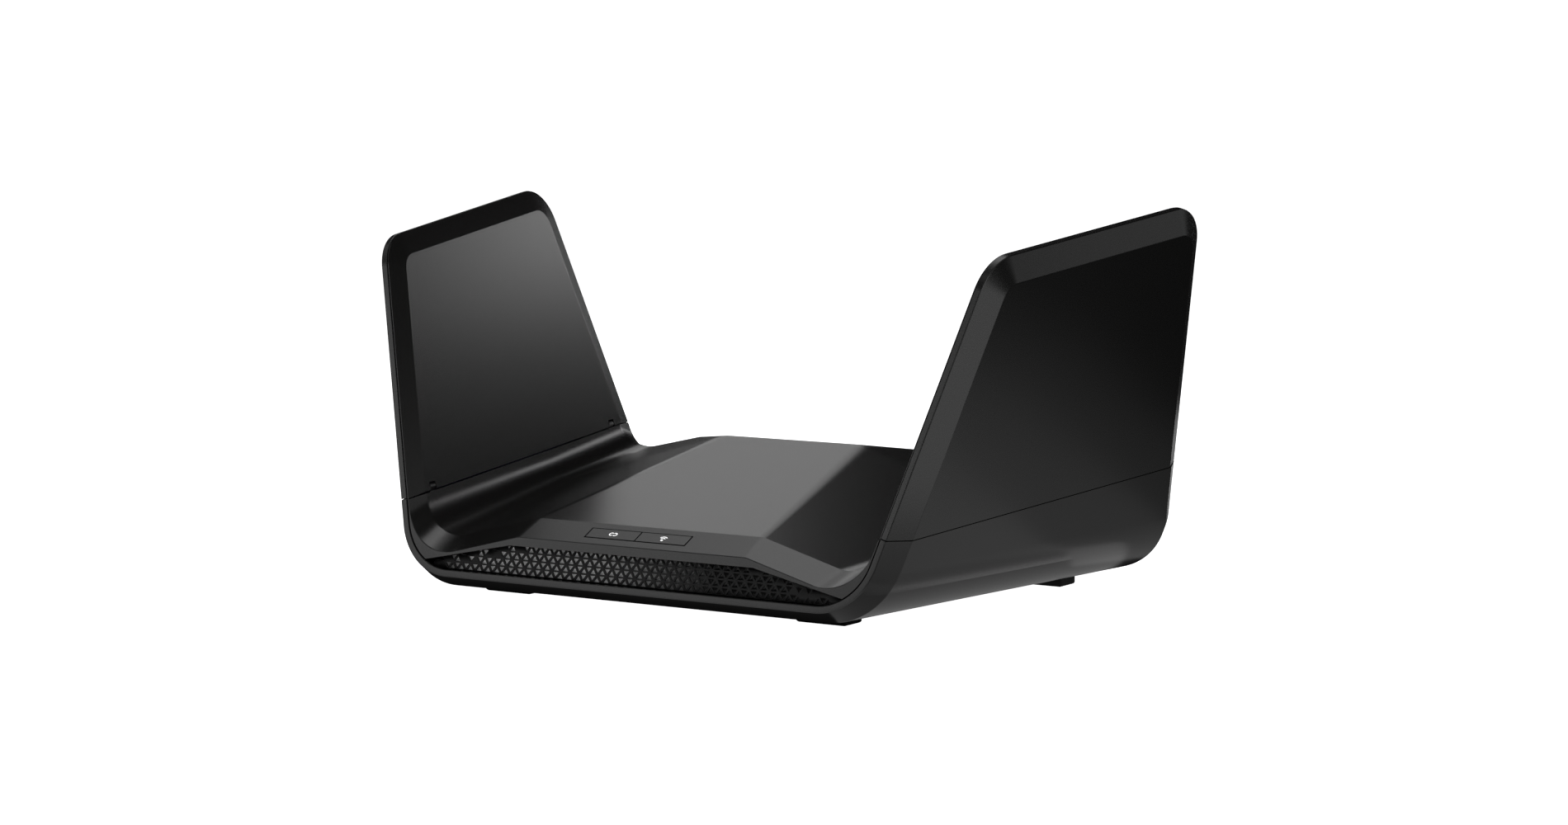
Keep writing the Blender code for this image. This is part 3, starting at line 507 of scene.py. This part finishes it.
# ---- bottom shell --------------------------------------------------------------------
def make_bottom_shell():
    """The floor, the outer fillets and the outer walls, with rounded rim edges."""
    far = 60.0
    inner = OUTER - WALL
    corner = [Vector(p) for p in ((far, inner), (BAND_INSIDE, inner), (LIP_WALL, LEDGE),
              (LIP_WALL, LIP), (0.0, LIP), (0.0, EDGE), (BAND, OUTER), (far, OUTER))]
    line = round_line(corner, [0, 0, 0, 0, 0.3, 0.55, 1.6, 0], ROUND)[1:-1]
    profile = [(-1, p.x, p.y) for p in line] + [(1, p.x, p.y) for p in reversed(line)]
    rings = zip(*[both_sides(rim_section(*point)) for point in profile])
    shell = keep(skin([list(ring) for ring in rings]), "shell_bottom", "satin", "base",
                 ["bottom_shell"])
    outside = RIM_Z - OUTER
    cuts = []
    for x, y in SCREWS:
        well = rod_mesh((x, y, 0), (x, y, outside + 1.0), SCREW_HEAD + GAP, 40)
        hole = rod_mesh((x, y, 0), (x, y, outside + 9.0), SCREW_RADIUS + GAP)
        cuts += [(well, "DIFFERENCE"), (hole, "DIFFERENCE")]
    slots = bmesh.new()
    across, deep = VENT_HALF
    for row in range(VENT_ROWS):
        for column in range(VENT_COLUMNS):
            x = (column - (VENT_COLUMNS - 1) / 2) * VENT_PITCH
            y = (row - (VENT_ROWS - 1) / 2) * VENT_ROW_PITCH
            corners = [Vector(p) for p in ((x - across, y - deep), (x + across, y - deep),
                                           (x + across, y + deep), (x - across, y + deep))]
            outline = round_line(corners, [1.4] * 4, ROUND)
            slot = skin([[Vector((p.x, p.y, z)) for p in outline] for z in (0, RIM_Z + 3)])
            data = bpy.data.meshes.new("slot")
            slot.to_mesh(data)
            slot.free()
            slots.from_mesh(data)
            bpy.data.meshes.remove(data)
    cuts.append((slots, "DIFFERENCE"))
    carve(shell, cuts)
    flat_shading(shell)


# ---- top shell -----------------------------------------------------------------------
HOLE_LEFT = BUTTON_SHIFT - BUTTON_WIDTH - BUTTON_GAP * 1.5
HOLE_RIGHT = BUTTON_SHIFT + BUTTON_WIDTH + BUTTON_GAP * 1.5
FLAT_X = [0.0, HOLE_RIGHT, -HOLE_LEFT]
EDGE_RADII = [0, 0.7, 3.0, 5.0, 3.0, 0.7, 0]   # of the shell's lines, front to rear


def opening_edge(end):
    """The shell's lowest edge, over the opening and down beside the rim."""
    rim = section(end, GAP, SKIN_N, [(0.0, RIM_Z - SKIN_N)], 0.0, RIM_FILLET + SKIN_N,
                  SKIN_DROP)
    arc = rim[1:-1]
    seam = rim[-1]
    high = OPENING_TOP_Z if end < 0 else PORT_TOP_Z
    wide = OPENING_X if end < 0 else PORT_X
    if end < 0:
        spread = math.acos(1 - (arc[-1].z - arc[0].z) / (RIM_FILLET + SKIN_N))
        at = OPENING_END / spread * ARC
        low = int(at)
        corner = arc[low].lerp(arc[low + 1], at - low)
        tail = arc[low + 1:] + [seam]
    else:
        share = (PORT_END_Z - arc[-1].z) / (seam.z - arc[-1].z)
        corner = arc[-1].lerp(seam, share)
        tail = [corner.lerp(seam, (i + 1) / 8) for i in range(8)]
    y = rim_y(end, high) - end * GAP
    flat = [Vector((x, y, high)) for x in FLAT_X]
    first = Vector((wide, y, high))
    bend = round_line([flat[-1], first, corner], [0, 5.0, 0], CREASE)[1:-1]
    count = ARC + 2 - len(tail)
    start = 0.5
    slope = [first.lerp(corner, start + (1 - start) * i / (count - 1)) for i in range(count)]
    return flat + bend + slope + tail


def make_top_shell():
    """The plateau, its slopes, the inner walls and the front band, as one sheet."""
    def line(end, inset, n, x, z, slope, radius, crease):
        floor = [(at, z) for at in FLAT_X] + [(x, z)]
        return section(end, inset, n, floor, slope, radius, SKIN_DROP, crease)

    lip = line(-1, GAP, BAND_EDGE_N, LIP_X, LIP_TOP_Z, FRONT_SLOPE, LIP_FILLET, 10.0)
    front = line(-1, PLATEAU_INSET, INNER, PLATEAU_FRONT_X, PLATEAU_FRONT_Z, FRONT_SLOPE,
                 PLATEAU_FILLET, 14.0)
    crest = line(-1, CREST_INSET, INNER, CREST_X, CREST_Z, CREST_SLOPE, CREST_FILLET, 28.0)
    rear = line(1, REAR_INSET, INNER, PLATEAU_REAR_X, PLATEAU_REAR_Z, REAR_SLOPE,
                REAR_FILLET, 8.0)
    tail = line(1, GAP, BAND_EDGE_N, REAR_LIP_X, REAR_LIP_Z, REAR_SLOPE, REAR_LIP_FILLET, 8.0)
    first_arc = len(rear) - ARC - 2
    for i, point in enumerate(rear):
        share = max(0.0, min(1.0, (i - first_arc) / ARC))
        share = share * share * (3 - 2 * share)
        point.y -= share * (PLATEAU_INSET - REAR_INSET)
        point.x -= share * (PLATEAU_INSET - REAR_INSET) * WING_TOE
    edges = [opening_edge(-1), lip, front, crest, rear, tail, opening_edge(1)]
    band = (front[0] - lip[0]).length
    low = (BUTTON_ALONG - BUTTON_DEPTH / 2 - BUTTON_GAP) / band
    high = (BUTTON_ALONG + BUTTON_DEPTH / 2 + BUTTON_GAP) / band
    columns = []
    at = 2 + ROUND
    for column in zip(*[both_sides(edge) for edge in edges]):
        path = round_line(list(column), EDGE_RADII, ROUND)
        between = [column[1].lerp(column[2], low), column[1].lerp(column[2], high)]
        columns.append(path[:at] + between + path[at:])
    mesh = skin(columns, caps=False, closed=False)
    mesh.verts.ensure_lookup_table()
    middle = len(both_sides(edges[0])) // 2
    hole = []
    for face in mesh.faces:
        c = face.calc_center_median()
        rim = c.y < 0 and HOLE_LEFT < c.x < HOLE_RIGHT
        if rim and columns[middle][at].y < c.y < columns[middle][at + 1].y:
            hole.append(face)
    bmesh.ops.delete(mesh, geom=hole, context="FACES")
    bmesh.ops.recalc_face_normals(mesh, faces=mesh.faces)
    mesh.normal_update()
    if sum(face.normal.z * face.calc_area() for face in mesh.faces) < 0:
        bmesh.ops.reverse_faces(mesh, faces=mesh.faces)
    shell = keep(mesh, "shell_top", "satin", "base", ["top_shell"])
    thick = shell.modifiers.new("wall", "SOLIDIFY")
    thick.thickness = SKIN_WALL * MM
    thick.offset = -1.0
    thick.use_even_offset = True
    cuts = []
    for side in (-1, 1):
        for a in LUGS:
            cuts.append((wing_box((a - LUG_WIDTH / 2 - GAP, -LUG_DEPTH - 1, AXIS_N - 0.9),
                                  (a + LUG_WIDTH / 2 + GAP, 2, 3), side), "DIFFERENCE"))
    carve(shell, cuts)
    flat_shading(shell)


# ---- wings ---------------------------------------------------------------------------
HEEL = 0.3                # lower edge of a wing's inner panel


def wing_box(low, high, side):
    """A box in a wing's frame; side is -1 on the left."""
    mesh = box_mesh(low, high)
    turn = Matrix((ALONG, UP, NORMAL)).transposed().to_4x4()
    bmesh.ops.transform(mesh, matrix=Matrix.Translation(SEAM_START) @ turn, verts=mesh.verts)
    if side < 0:
        bmesh.ops.scale(mesh, vec=(-1, 1, 1), verts=mesh.verts)
        bmesh.ops.reverse_faces(mesh, faces=mesh.faces)
    return mesh


def wing_outline(inset, bottom):
    """The rounded trapezoid of a wing in its own (along, up) plane."""
    def local(point):
        offset = point - SEAM_START
        return Vector((offset.dot(ALONG), offset.dot(UP)))

    corners = [Vector((0, 0)), local(rim_point(1, SEAM_REAR_Z)),
               local(rim_point(1, TOP_REAR_Z)), local(rim_point(-1, TOP_FRONT_Z))]

    def edge(i, distance):
        start = corners[i]
        go = (corners[(i + 1) % 4] - start).normalized()
        return start + Vector((-go.y, go.x)) * distance, go

    def meet(first, second):
        (p, d), (q, e) = first, second
        t = ((q - p).x * e.y - (q - p).y * e.x) / (d.x * e.y - d.y * e.x)
        return p + d * t

    edges = [edge(0, bottom), edge(1, inset), edge(2, inset), edge(3, inset)]
    shape = [meet(edges[i - 1], edges[i]) for i in range(4)]
    radius = max(CORNER_RADIUS - inset, 3.0)
    return round_line(shape, [0, 0, radius, radius], TURN)


def wing_mesh(rings, side):
    """A closed wing cover lofted through (inset, n, bottom) rings."""
    loops = []
    for inset, n, bottom in rings:
        loop = [wing_point(p.x, p.y, n) for p in wing_outline(inset, bottom)]
        loops.append(mirrored(loop) if side < 0 else loop)
    return skin(loops)


def axle(middle, half, radius, side):
    """A cylinder on a wing's hinge axis."""
    ends = [wing_point(middle + reach, AXIS_UP, AXIS_N) for reach in (-half, half)]
    if side < 0:
        ends = mirrored(ends)
    return rod_mesh(*ends, radius)


def make_wing(side, tag):
    """Outer and inner covers of one wing."""
    low = SEAM_GAP
    far = 40.0
    body = "wing_" + tag
    line = [Vector(p) for p in ((far, OUTER, low), (BAND, OUTER, low), (0.0, EDGE, low),
            (0.0, LIP, low), (WALL, LIP, low + WALL), (WALL, 0.0, low + WALL),
            (BAND_INSIDE, OUTER - WALL, low + WALL))]
    rings = round_line(line, [0, 1.6, 0.55, 0.3, 0, 0, 0], ROUND)[1:]
    cover = keep(wing_mesh(rings, side), "wing_back_" + tag, "panel", body,
                 ["wing_outer_cover_" + tag])
    carve(cover, [(wing_box((a - BOSS - GAP, -1, LIP - 1),
                            (a + BOSS + GAP, BOSS_TOP + GAP, BOSS_N + GAP), side), "DIFFERENCE")
                  for a in LUGS])
    flat_shading(cover)
    start = LIP - GAP
    line = [Vector(p) for p in ((far, INNER, HEEL), (BAND, INNER, HEEL),
            (GAP, start - 0.25, -low), (GAP, start, -low), (BAND * 0.5, start, low + 0.3),
            (BAND_INSIDE, INNER + WALL, low + WALL))]
    rings = round_line(line, [0, 1.2, 0, 0, 0, 0], ROUND)[1:]
    face = keep(wing_mesh(rings, side), "wing_face_" + tag, "satin", body,
                ["wing_inner_cover_" + tag])
    steps = [(wing_box((a - BOSS, low + 0.4, INNER + 1.0), (a + BOSS, BOSS_TOP, BOSS_N), side),
              "UNION") for a in LUGS]
    reach = LUG_WIDTH / 2 + GAP
    for a in LUGS:
        steps.append((wing_box((a - reach, -1, INNER - 1), (a + reach, AXIS_UP + 1.8, 2), side),
                      "DIFFERENCE"))
        steps.append((axle(a, PIN_HOLE_HALF, PIN_HOLE, side), "DIFFERENCE"))
    carve(face, steps)
    flat_shading(face)


# ---- grille --------------------------------------------------------------------------
CELL = 4.4                # width of a triangle
ROW = 2.92                # height of a row, measured in z
FIRST_Z = 11.15
ROWS = 4
OPENING_LOW_Z = 14.0      # where the opening's slanted end reaches its lower corner
OPENING_LOW_X = 98.0
OPENING_SIDE = (OPENING_LOW_X - OPENING_X) / (OPENING_LOW_Z - OPENING_TOP_Z)
PLATE_INSET = 3.0
PLATE_WALL = 0.7
SHEET_INSET = 3.72
SHEET_WALL = 0.5
PYRAMID = 0.75            # depth of the pyramid in each cell of the sheet
HOLE_SHARE = 0.66         # size of a hole against its cell
PLATE_OVERLAP = 3.2       # how far the plate reaches under the opening's ends
PLATE_END_X = 97.5
ALL_OPEN = 17.0           # distance from the ends where every cell is pierced
HALF_OPEN = 9.0           # and where more than half of them are
CELLS_END_X = 96.0
CELL_MARGIN = 1.5


def cell_open(row, k):
    """Whether a lattice cell is pierced; the pattern thins out towards both ends."""
    x = (k + 0.5) * CELL / 2
    z = FIRST_Z + (row + 0.5) * ROW
    edge = OPENING_X + OPENING_SIDE * (max(z, OPENING_LOW_Z) - OPENING_TOP_Z)
    inside = min(CELLS_END_X, edge) - CELL_MARGIN - abs(x)
    if inside < 0:
        return False
    if inside > ALL_OPEN:
        return True
    if inside > HALF_OPEN:
        return (k * 5 + row * 3) % 7 not in (0, 3)
    return (k * 3 + row * 2) % 5 in (0, 2)


def lattice(depth, sink):
    """Rings of triangles in the raked plane; sink gives each cell's middle its depth."""
    mesh = bmesh.new()
    spots = {}

    def spot(x, z, inset):
        key = (round(x, 3), round(z, 3), round(inset, 3))
        if key not in spots:
            spots[key] = mesh.verts.new((x, rim_y(-1, z) + inset, z))
        return spots[key]

    def reach(z):
        edge = OPENING_X + OPENING_SIDE * (z - OPENING_TOP_Z)
        return min(PLATE_END_X, edge + PLATE_OVERLAP)

    for row in range(ROWS):
        low = FIRST_Z + row * ROW
        high = low + ROW
        count = int(reach(low + ROW / 2) * 2 / CELL)
        for k in range(-count, count):
            left = k * CELL / 2
            right = left + CELL
            middle = left + CELL / 2
            if (k + row) % 2 == 0:
                corners = [(left, low), (right, low), (middle, high)]
            else:
                corners = [(left, high), (middle, low), (right, high)]
            outer = [spot(x, z, depth) for x, z in corners]
            cx = sum(x for x, z in corners) / 3
            cz = sum(z for x, z in corners) / 3
            if sink is None:
                if cell_open(row, k):
                    inner = [spot(cx + (x - cx) * HOLE_SHARE, cz + (z - cz) * HOLE_SHARE,
                                  depth) for x, z in corners]
                    for i in range(3):
                        j = (i + 1) % 3
                        mesh.faces.new((outer[i], outer[j], inner[j], inner[i]))
                else:
                    mesh.faces.new(outer)
            else:
                tip = spot(cx, cz, depth + sink)
                for i in range(3):
                    mesh.faces.new((outer[i], outer[(i + 1) % 3], tip))
    bmesh.ops.recalc_face_normals(mesh, faces=mesh.faces)
    mesh.normal_update()
    if sum(face.normal.y for face in mesh.faces) > 0:
        bmesh.ops.reverse_faces(mesh, faces=mesh.faces)
    return mesh


def make_grille():
    """The pierced lattice plate, and behind it a sheet with a pyramid in each cell."""
    plate = keep(lattice(PLATE_INSET, None), "grille_lattice", "lattice", "base",
                 ["front_grille"])
    thick = plate.modifiers.new("wall", "SOLIDIFY")
    thick.thickness = PLATE_WALL * MM
    thick.offset = -1.0
    # the sheet's colour holds painted light and shade along its length
    sheet = keep(lattice(SHEET_INSET, PYRAMID), "grille_insert", "insert", "base", [],
                 smooth=5.0)
    thick = sheet.modifiers.new("wall", "SOLIDIFY")
    thick.thickness = SHEET_WALL * MM
    thick.offset = -1.0


# ---- buttons and their marks ---------------------------------------------------------
GAP_SHADE = 0.6                # width of the dark line round the buttons, a painted shadow in their gap
GAP_SHADE_LEVEL = (0.005, 0.03)
MARK_STROKE = 0.42
MARK_LEVEL = (0.08, 0.13)
# painted light: how brightly the printed marks glow
MARK_PAINTED_GLOW = 0.8


def band_frame():
    """The front band's own frame: across, up the band, and out of it."""
    lip = Vector((0, rim_y(-1, LIP_TOP_Z) + GAP, LIP_TOP_Z))
    crease = Vector((0, rim_y(-1, PLATEAU_FRONT_Z) + PLATEAU_INSET, PLATEAU_FRONT_Z))
    up = (crease - lip).normalized()
    across = Vector((1, 0, 0))
    turn = Matrix((across, up, across.cross(up))).transposed().to_4x4()
    return Matrix.Translation(lip) @ turn


def ribbon(mesh, points, width, low, high):
    """Add a flat solid stroke along 2D points."""
    points = [Vector(p) for p in points]
    left = []
    right = []
    for i, p in enumerate(points):
        before = points[max(i - 1, 0)]
        after = points[min(i + 1, len(points) - 1)]
        go = (after - before).normalized()
        side = Vector((-go.y, go.x)) * width / 2
        left.append(p + side)
        right.append(p - side)
    outline = left + right[::-1]
    rings = [[mesh.verts.new((p.x, p.y, z)) for p in outline] for z in (low, high)]
    count = len(outline)
    for i in range(count):
        j = (i + 1) % count
        mesh.faces.new((rings[0][i], rings[0][j], rings[1][j], rings[1][i]))
    half = len(left)
    for ring in rings:
        for i in range(half - 1):
            mesh.faces.new((ring[i], ring[i + 1], ring[count - 2 - i], ring[count - 1 - i]))


def arc_points(cx, cy, radius, start, end, steps=14):
    """Points of a circular arc, angles in degrees."""
    return [(cx + radius * math.cos(math.radians(start + (end - start) * k / steps)),
             cy + radius * math.sin(math.radians(start + (end - start) * k / steps)))
            for k in range(steps + 1)]


def make_button_gap_shade():
    """The dark line round the two buttons, just clear of the band: a painted shadow laid in their
    gap.
    """
    band = band_frame()
    mesh = bmesh.new()
    across = BUTTON_WIDTH + BUTTON_GAP
    up = BUTTON_DEPTH / 2 + BUTTON_GAP / 2
    for height in (-up, up):
        ribbon(mesh, [(-across - 0.3, height), (across + 0.3, height)], GAP_SHADE, *GAP_SHADE_LEVEL)
    for side in (-across, 0.0, across):
        ribbon(mesh, [(side, -up), (side, up)], GAP_SHADE, *GAP_SHADE_LEVEL)
    bmesh.ops.transform(mesh, verts=mesh.verts,
                        matrix=band @ Matrix.Translation((BUTTON_SHIFT, BUTTON_ALONG, 0)))
    bmesh.ops.recalc_face_normals(mesh, faces=mesh.faces)
    # painted shadow: a black strip standing in for the shade in the gap round the buttons
    keep(mesh, "button_gap_shade", "shadow", "base")


def make_marks():
    """Printed white marks with a painted glow: two joined rings for pairing, a fan of arcs for the
    radio.
    """
    # painted light: the printed marks are made to glow though nothing lights them
    LOOKS["print"].glow(MARK_PAINTED_GLOW)
    band = band_frame()
    for sign, tag in ((-1, "pairing"), (1, "wifi")):
        x = BUTTON_SHIFT + sign * (BUTTON_WIDTH + BUTTON_GAP) / 2
        mesh = bmesh.new()
        if sign < 0:
            ribbon(mesh, arc_points(-0.85, 0, 0.85, 40, 320), MARK_STROKE, *MARK_LEVEL)
            ribbon(mesh, arc_points(0.85, 0, 0.85, -140, 140), MARK_STROKE, *MARK_LEVEL)
        else:
            ribbon(mesh, arc_points(0, -1.1, 2.3, 45, 135), MARK_STROKE, *MARK_LEVEL)
            ribbon(mesh, arc_points(0, -1.1, 1.4, 45, 135), MARK_STROKE, *MARK_LEVEL)
            ribbon(mesh, arc_points(0, -1.1, 0.28, 0, 360, 16), 0.5, *MARK_LEVEL)
        bmesh.ops.transform(mesh, matrix=band @ Matrix.Translation((x, BUTTON_ALONG, 0)),
                            verts=mesh.verts)
        bmesh.ops.recalc_face_normals(mesh, faces=mesh.faces)
        keep(mesh, "mark_" + tag, "print", "button_" + tag)


# ---- sockets -------------------------------------------------------------------------
CONTACTS = 8              # springs in a network socket
CONTACT_PITCH = 1.02
CONTACT_SIZE = (0.45, 0.3)
PADS = 4                  # pads on a USB tongue
PAD_PITCH = 2.2
PAD_SIZE = (1.1, 0.12)


def wire(mesh, points, width, thick):
    """Add a flat bent spring through (y, z) points, centred on x = 0."""
    points = [Vector(p) for p in points]
    rows = []
    for i, p in enumerate(points):
        go = (points[min(i + 1, len(points) - 1)] - points[max(i - 1, 0)]).normalized()
        side = Vector((-go.y, go.x)) * thick / 2
        ring = [(width / 2, p + side), (-width / 2, p + side), (-width / 2, p - side),
                (width / 2, p - side)]
        rows.append([mesh.verts.new((x, q.x, q.y)) for x, q in ring])
    for low, high in zip(rows, rows[1:]):
        for i in range(4):
            j = (i + 1) % 4
            mesh.faces.new((low[i], low[j], high[j], high[i]))
    mesh.faces.new(rows[0])
    mesh.faces.new(rows[-1])


def make_contacts():
    """Spring contacts in each network socket and pads on each USB tongue."""
    back = PANEL_Y + JACK_LIFT
    path = [Vector(p) for p in ((back - 14.0, DECK + 10.6), (back - 4.0, DECK + 10.6),
            (back - 3.0, DECK + 9.6), (back - 11.5, DECK + 6.2))]
    path = round_line(path, [0, 0.8, 0.8, 0], ROUND)
    sockets = [(WAN_X, "wan")] + [(x, "lan_%d" % (i + 1)) for i, x in enumerate(LAN_X)]
    for x, tag in sockets:
        mesh = bmesh.new()
        for i in range(CONTACTS):
            before = len(mesh.verts)
            wire(mesh, path, *CONTACT_SIZE)
            mesh.verts.ensure_lookup_table()
            shift = x + (i - (CONTACTS - 1) / 2) * CONTACT_PITCH
            bmesh.ops.translate(mesh, vec=(shift, 0, 0), verts=mesh.verts[before:])
        bmesh.ops.recalc_face_normals(mesh, faces=mesh.faces)
        keep(mesh, "contacts_" + tag, "gold", "base")
    path = [(back - 12.0, DECK + 3.98), (back - 3.2, DECK + 3.98)]
    for i, x in enumerate(USB_X):
        mesh = bmesh.new()
        for k in range(PADS):
            before = len(mesh.verts)
            wire(mesh, path, *PAD_SIZE)
            mesh.verts.ensure_lookup_table()
            shift = x + (k - (PADS - 1) / 2) * PAD_PITCH
            bmesh.ops.translate(mesh, vec=(shift, 0, 0), verts=mesh.verts[before:])
        bmesh.ops.recalc_face_normals(mesh, faces=mesh.faces)
        keep(mesh, "contacts_usb_%d" % (i + 1), "gold", "base")


# ---- the carried-over CAD nodes ------------------------------------------------------
LOOK_OF_SLOT = {"satin_plastic": "satin", "matt_plastic": "matt", "rubber": "rubber",
                "steel": "steel", "tinned_can": "tin", "aluminium": "alu", "board": "board"}
BEVELS = {"rear_panel": 0.2, "power_button": 0.35, "light_slider": 0.25, "dc_jack": 0.15,
          "button_pairing": 0.22, "button_wifi": 0.22}


def finish_nodes():
    """Give every CAD node that is still shown its material and softened edges."""
    slots = {entry["node"]: entry["material_slot"] for entry in frame["record"]["subparts"]}
    for name, node in frame["nodes"].items():
        look = "matt" if name.startswith("hinge_rail") else LOOK_OF_SLOT[slots[name]]
        material = LOOKS[look].material
        node.data.materials.clear()
        node.data.materials.append(material)
        if node.hide_render:
            continue
        weld = node.modifiers.new("weld", "WELD")
        weld.merge_threshold = 0.00001
        if name.startswith("foot_"):
            width = 0.5
        else:
            width = BEVELS.get(name, 0.1)
        bevel = node.modifiers.new("soft_edges", "BEVEL")
        bevel.width = width * MM
        bevel.segments = 3
        bevel.limit_method = "ANGLE"
        bevel.angle_limit = math.radians(40)
        bevel.harden_normals = True


# ---- studio, in metres and degrees ---------------------------------------------------
ROOM = 0.01               # the light of the room itself
FLOOR_SIZE = 30.0
FLOOR_GLOW = 1.1
SURROUND_RADIUS = 28.0
SURROUND_GLOW = 1.1
DOWN = (0, 0, -1)
RING = 1.1                # distance of the panels
RING_HEIGHT = 0.09        # height of the point that they face
PANELS = [                # name, azimuth, elevation, size, radiance
    ("behind_right", 170, 15.5, (0.26, 0.13), 3.0),
    ("behind_right_far", 132, 12, (0.45, 0.30), 0.5),
    ("behind_low", 180, 10, (0.225, 0.155), 4.0),
    ("behind_left_low", 220, 15, (0.45, 0.22), 0.8),
    ("behind_left_mid", 221, 29, (0.45, 0.26), 1.05),
    ("behind_left_high", 230, 45, (0.68, 0.30), 0.8),
    ("left_high", 225, 66, (0.6, 0.5), 1.6),
    ("front_left", 323, 14, (0.55, 0.35), 1.5),
    ("right_low", 72, 7, (0.42, 0.42), 3.0),
    ("front_right", 25, 9, (0.7, 0.3), 0.9),
    ("high_right", 95, 48, (0.9, 0.6), 0.45),
    ("high_front", 10, 50, (0.9, 0.6), 0.45),
    ("high_left", 295, 45, (0.9, 0.6), 0.45)]
FLOOR_PATCHES = [         # name, x from and to, y from and to, radiance
    ("floor_rear", (-0.4, 0.08), (0.13, 0.6), 0.7),
    ("floor_under_edge", (0.09, 0.14), (-0.10, 0.09), 0.3),
    ("floor_front", (-0.16, 0.12), (-0.5, -0.105), 0.9),
    ("floor_right_near", (0.118, 0.24), (-0.20, 0.05), 0.42),
    ("floor_right_far", (0.24, 1.6), (-0.26, 0.03), 1.15),
    ("floor_behind", (0.12, 0.30), (0.05, 0.14), 0.26),
    ("floor_behind_far", (0.16, 0.34), (0.14, 0.22), 0.12)]
PATCH_HEIGHT = 0.0005
LENS = 82.0
CAMERA_AZIMUTH = 32.96
CAMERA_ELEVATION = 5.68
CAMERA_TARGET = Vector((0.0097, -0.0035, 0.0707))
CAMERA_DISTANCE = 1.437


def towards(azimuth, elevation):
    """The direction of an azimuth and elevation; azimuth 0 is straight in front."""
    side = math.radians(azimuth)
    up = math.radians(elevation)
    return Vector((math.sin(side) * math.cos(up), -math.cos(side) * math.cos(up),
                   math.sin(up)))


def hide_from(thing, *rays):
    """Leave a lamp or a stage piece out of some kinds of ray."""
    for ray in rays:
        setattr(thing, "visible_" + ray, False)


def softbox(name, place, facing, size, bright):
    """A rectangular lamp of a given radiance; place and size are in metres."""
    data = bpy.data.lights.new(name, "AREA")
    data.shape = "RECTANGLE"
    data.size, data.size_y = size
    data.energy = bright * math.pi * size[0] * size[1]
    lamp = bpy.data.objects.new(name, data)
    bpy.context.scene.collection.objects.link(lamp)
    turn = Vector(facing).to_track_quat("-Z", "Y").to_matrix().to_4x4()
    lamp.matrix_world = Matrix.Translation(place) @ turn
    hide_from(lamp, "camera")
    return lamp


def stage_sheet(name, mesh):
    """A staged object from a bmesh in metres."""
    data = bpy.data.meshes.new(name)
    mesh.to_mesh(data)
    mesh.free()
    sheet = bpy.data.objects.new(name, data)
    bpy.context.scene.collection.objects.link(sheet)
    return sheet


def make_floor():
    """A pale floor inside a white surround that only the camera sees."""
    mesh = bmesh.new()
    bmesh.ops.create_grid(mesh, x_segments=1, y_segments=1, size=FLOOR_SIZE)
    floor = stage_sheet("studio_floor", mesh)
    look = Look("pale_floor")
    speck = look.noise(60.0, 2.0)
    look.colour(look.ramp(speck, [(0.3, grey(0.82)), (0.7, grey(0.86))]))
    look.rough(look.span(speck, 0.85, 0.95))
    look.shader.inputs["Specular IOR Level"].default_value = 0.0
    look.glow(FLOOR_GLOW)
    floor.data.materials.append(look.material)
    hide_from(floor, "glossy", "diffuse")
    mesh = bmesh.new()
    bmesh.ops.create_uvsphere(mesh, u_segments=32, v_segments=16, radius=SURROUND_RADIUS)
    surround = stage_sheet("studio_surround", mesh)
    look = Look("white_surround")
    look.shader.inputs["Base Color"].default_value = (0.0, 0.0, 0.0, 1.0)
    look.glow(SURROUND_GLOW)
    surround.data.materials.append(look.material)
    hide_from(surround, "glossy", "diffuse", "shadow", "transmission")


def lit_floor(name, x, y, bright):
    """The light that one stretch of the floor throws back up."""
    middle = ((x[0] + x[1]) / 2, (y[0] + y[1]) / 2, PATCH_HEIGHT)
    return softbox(name, middle, (0, 0, 1), (x[1] - x[0], y[1] - y[0]), bright)


def panel(name, azimuth, elevation, size, bright):
    """A softbox on a ring round the object."""
    way = towards(azimuth, elevation)
    return softbox(name, way * RING + Vector((0, 0, RING_HEIGHT)), -way, size, bright)


def make_world():
    """Almost no light from the room itself."""
    world = bpy.data.worlds.new("studio")
    world.use_nodes = True
    world.node_tree.nodes["Background"].inputs["Color"].default_value = (*grey(ROOM), 1.0)
    bpy.context.scene.world = world


def make_camera():
    """The camera of the reference view."""
    scene = bpy.context.scene
    camera = bpy.data.objects.new("camera", bpy.data.cameras.new("camera"))
    scene.collection.objects.link(camera)
    camera.data.sensor_width = 36.0
    camera.data.lens = LENS
    camera.data.clip_end = 100.0
    back = towards(CAMERA_AZIMUTH, CAMERA_ELEVATION)
    camera.location = CAMERA_TARGET + back * CAMERA_DISTANCE
    camera.rotation_euler = (-back).to_track_quat("-Z", "Y").to_euler()
    scene.camera = camera


def make_studio():
    """Floor, room, softboxes and the camera."""
    bpy.context.scene.view_settings.view_transform = "Standard"
    make_world()
    make_floor()
    overhead = softbox("overhead", (0.0, 0.0, 2.4), DOWN, (4.0, 4.0), 0.2)
    hide_from(overhead, "glossy")
    for values in PANELS:
        panel(*values)
    softbox("top", (0.0, 0.0, 1.4), DOWN, (0.8, 0.8), 0.4)
    for values in FLOOR_PATCHES:
        lit_floor(*values)
    make_camera()


make_bottom_shell()
make_top_shell()
for _side, _tag in ((-1, "left"), (1, "right")):
    make_wing(_side, _tag)
make_grille()
make_button_gap_shade()
make_marks()
make_contacts()
finish_nodes()
make_studio()
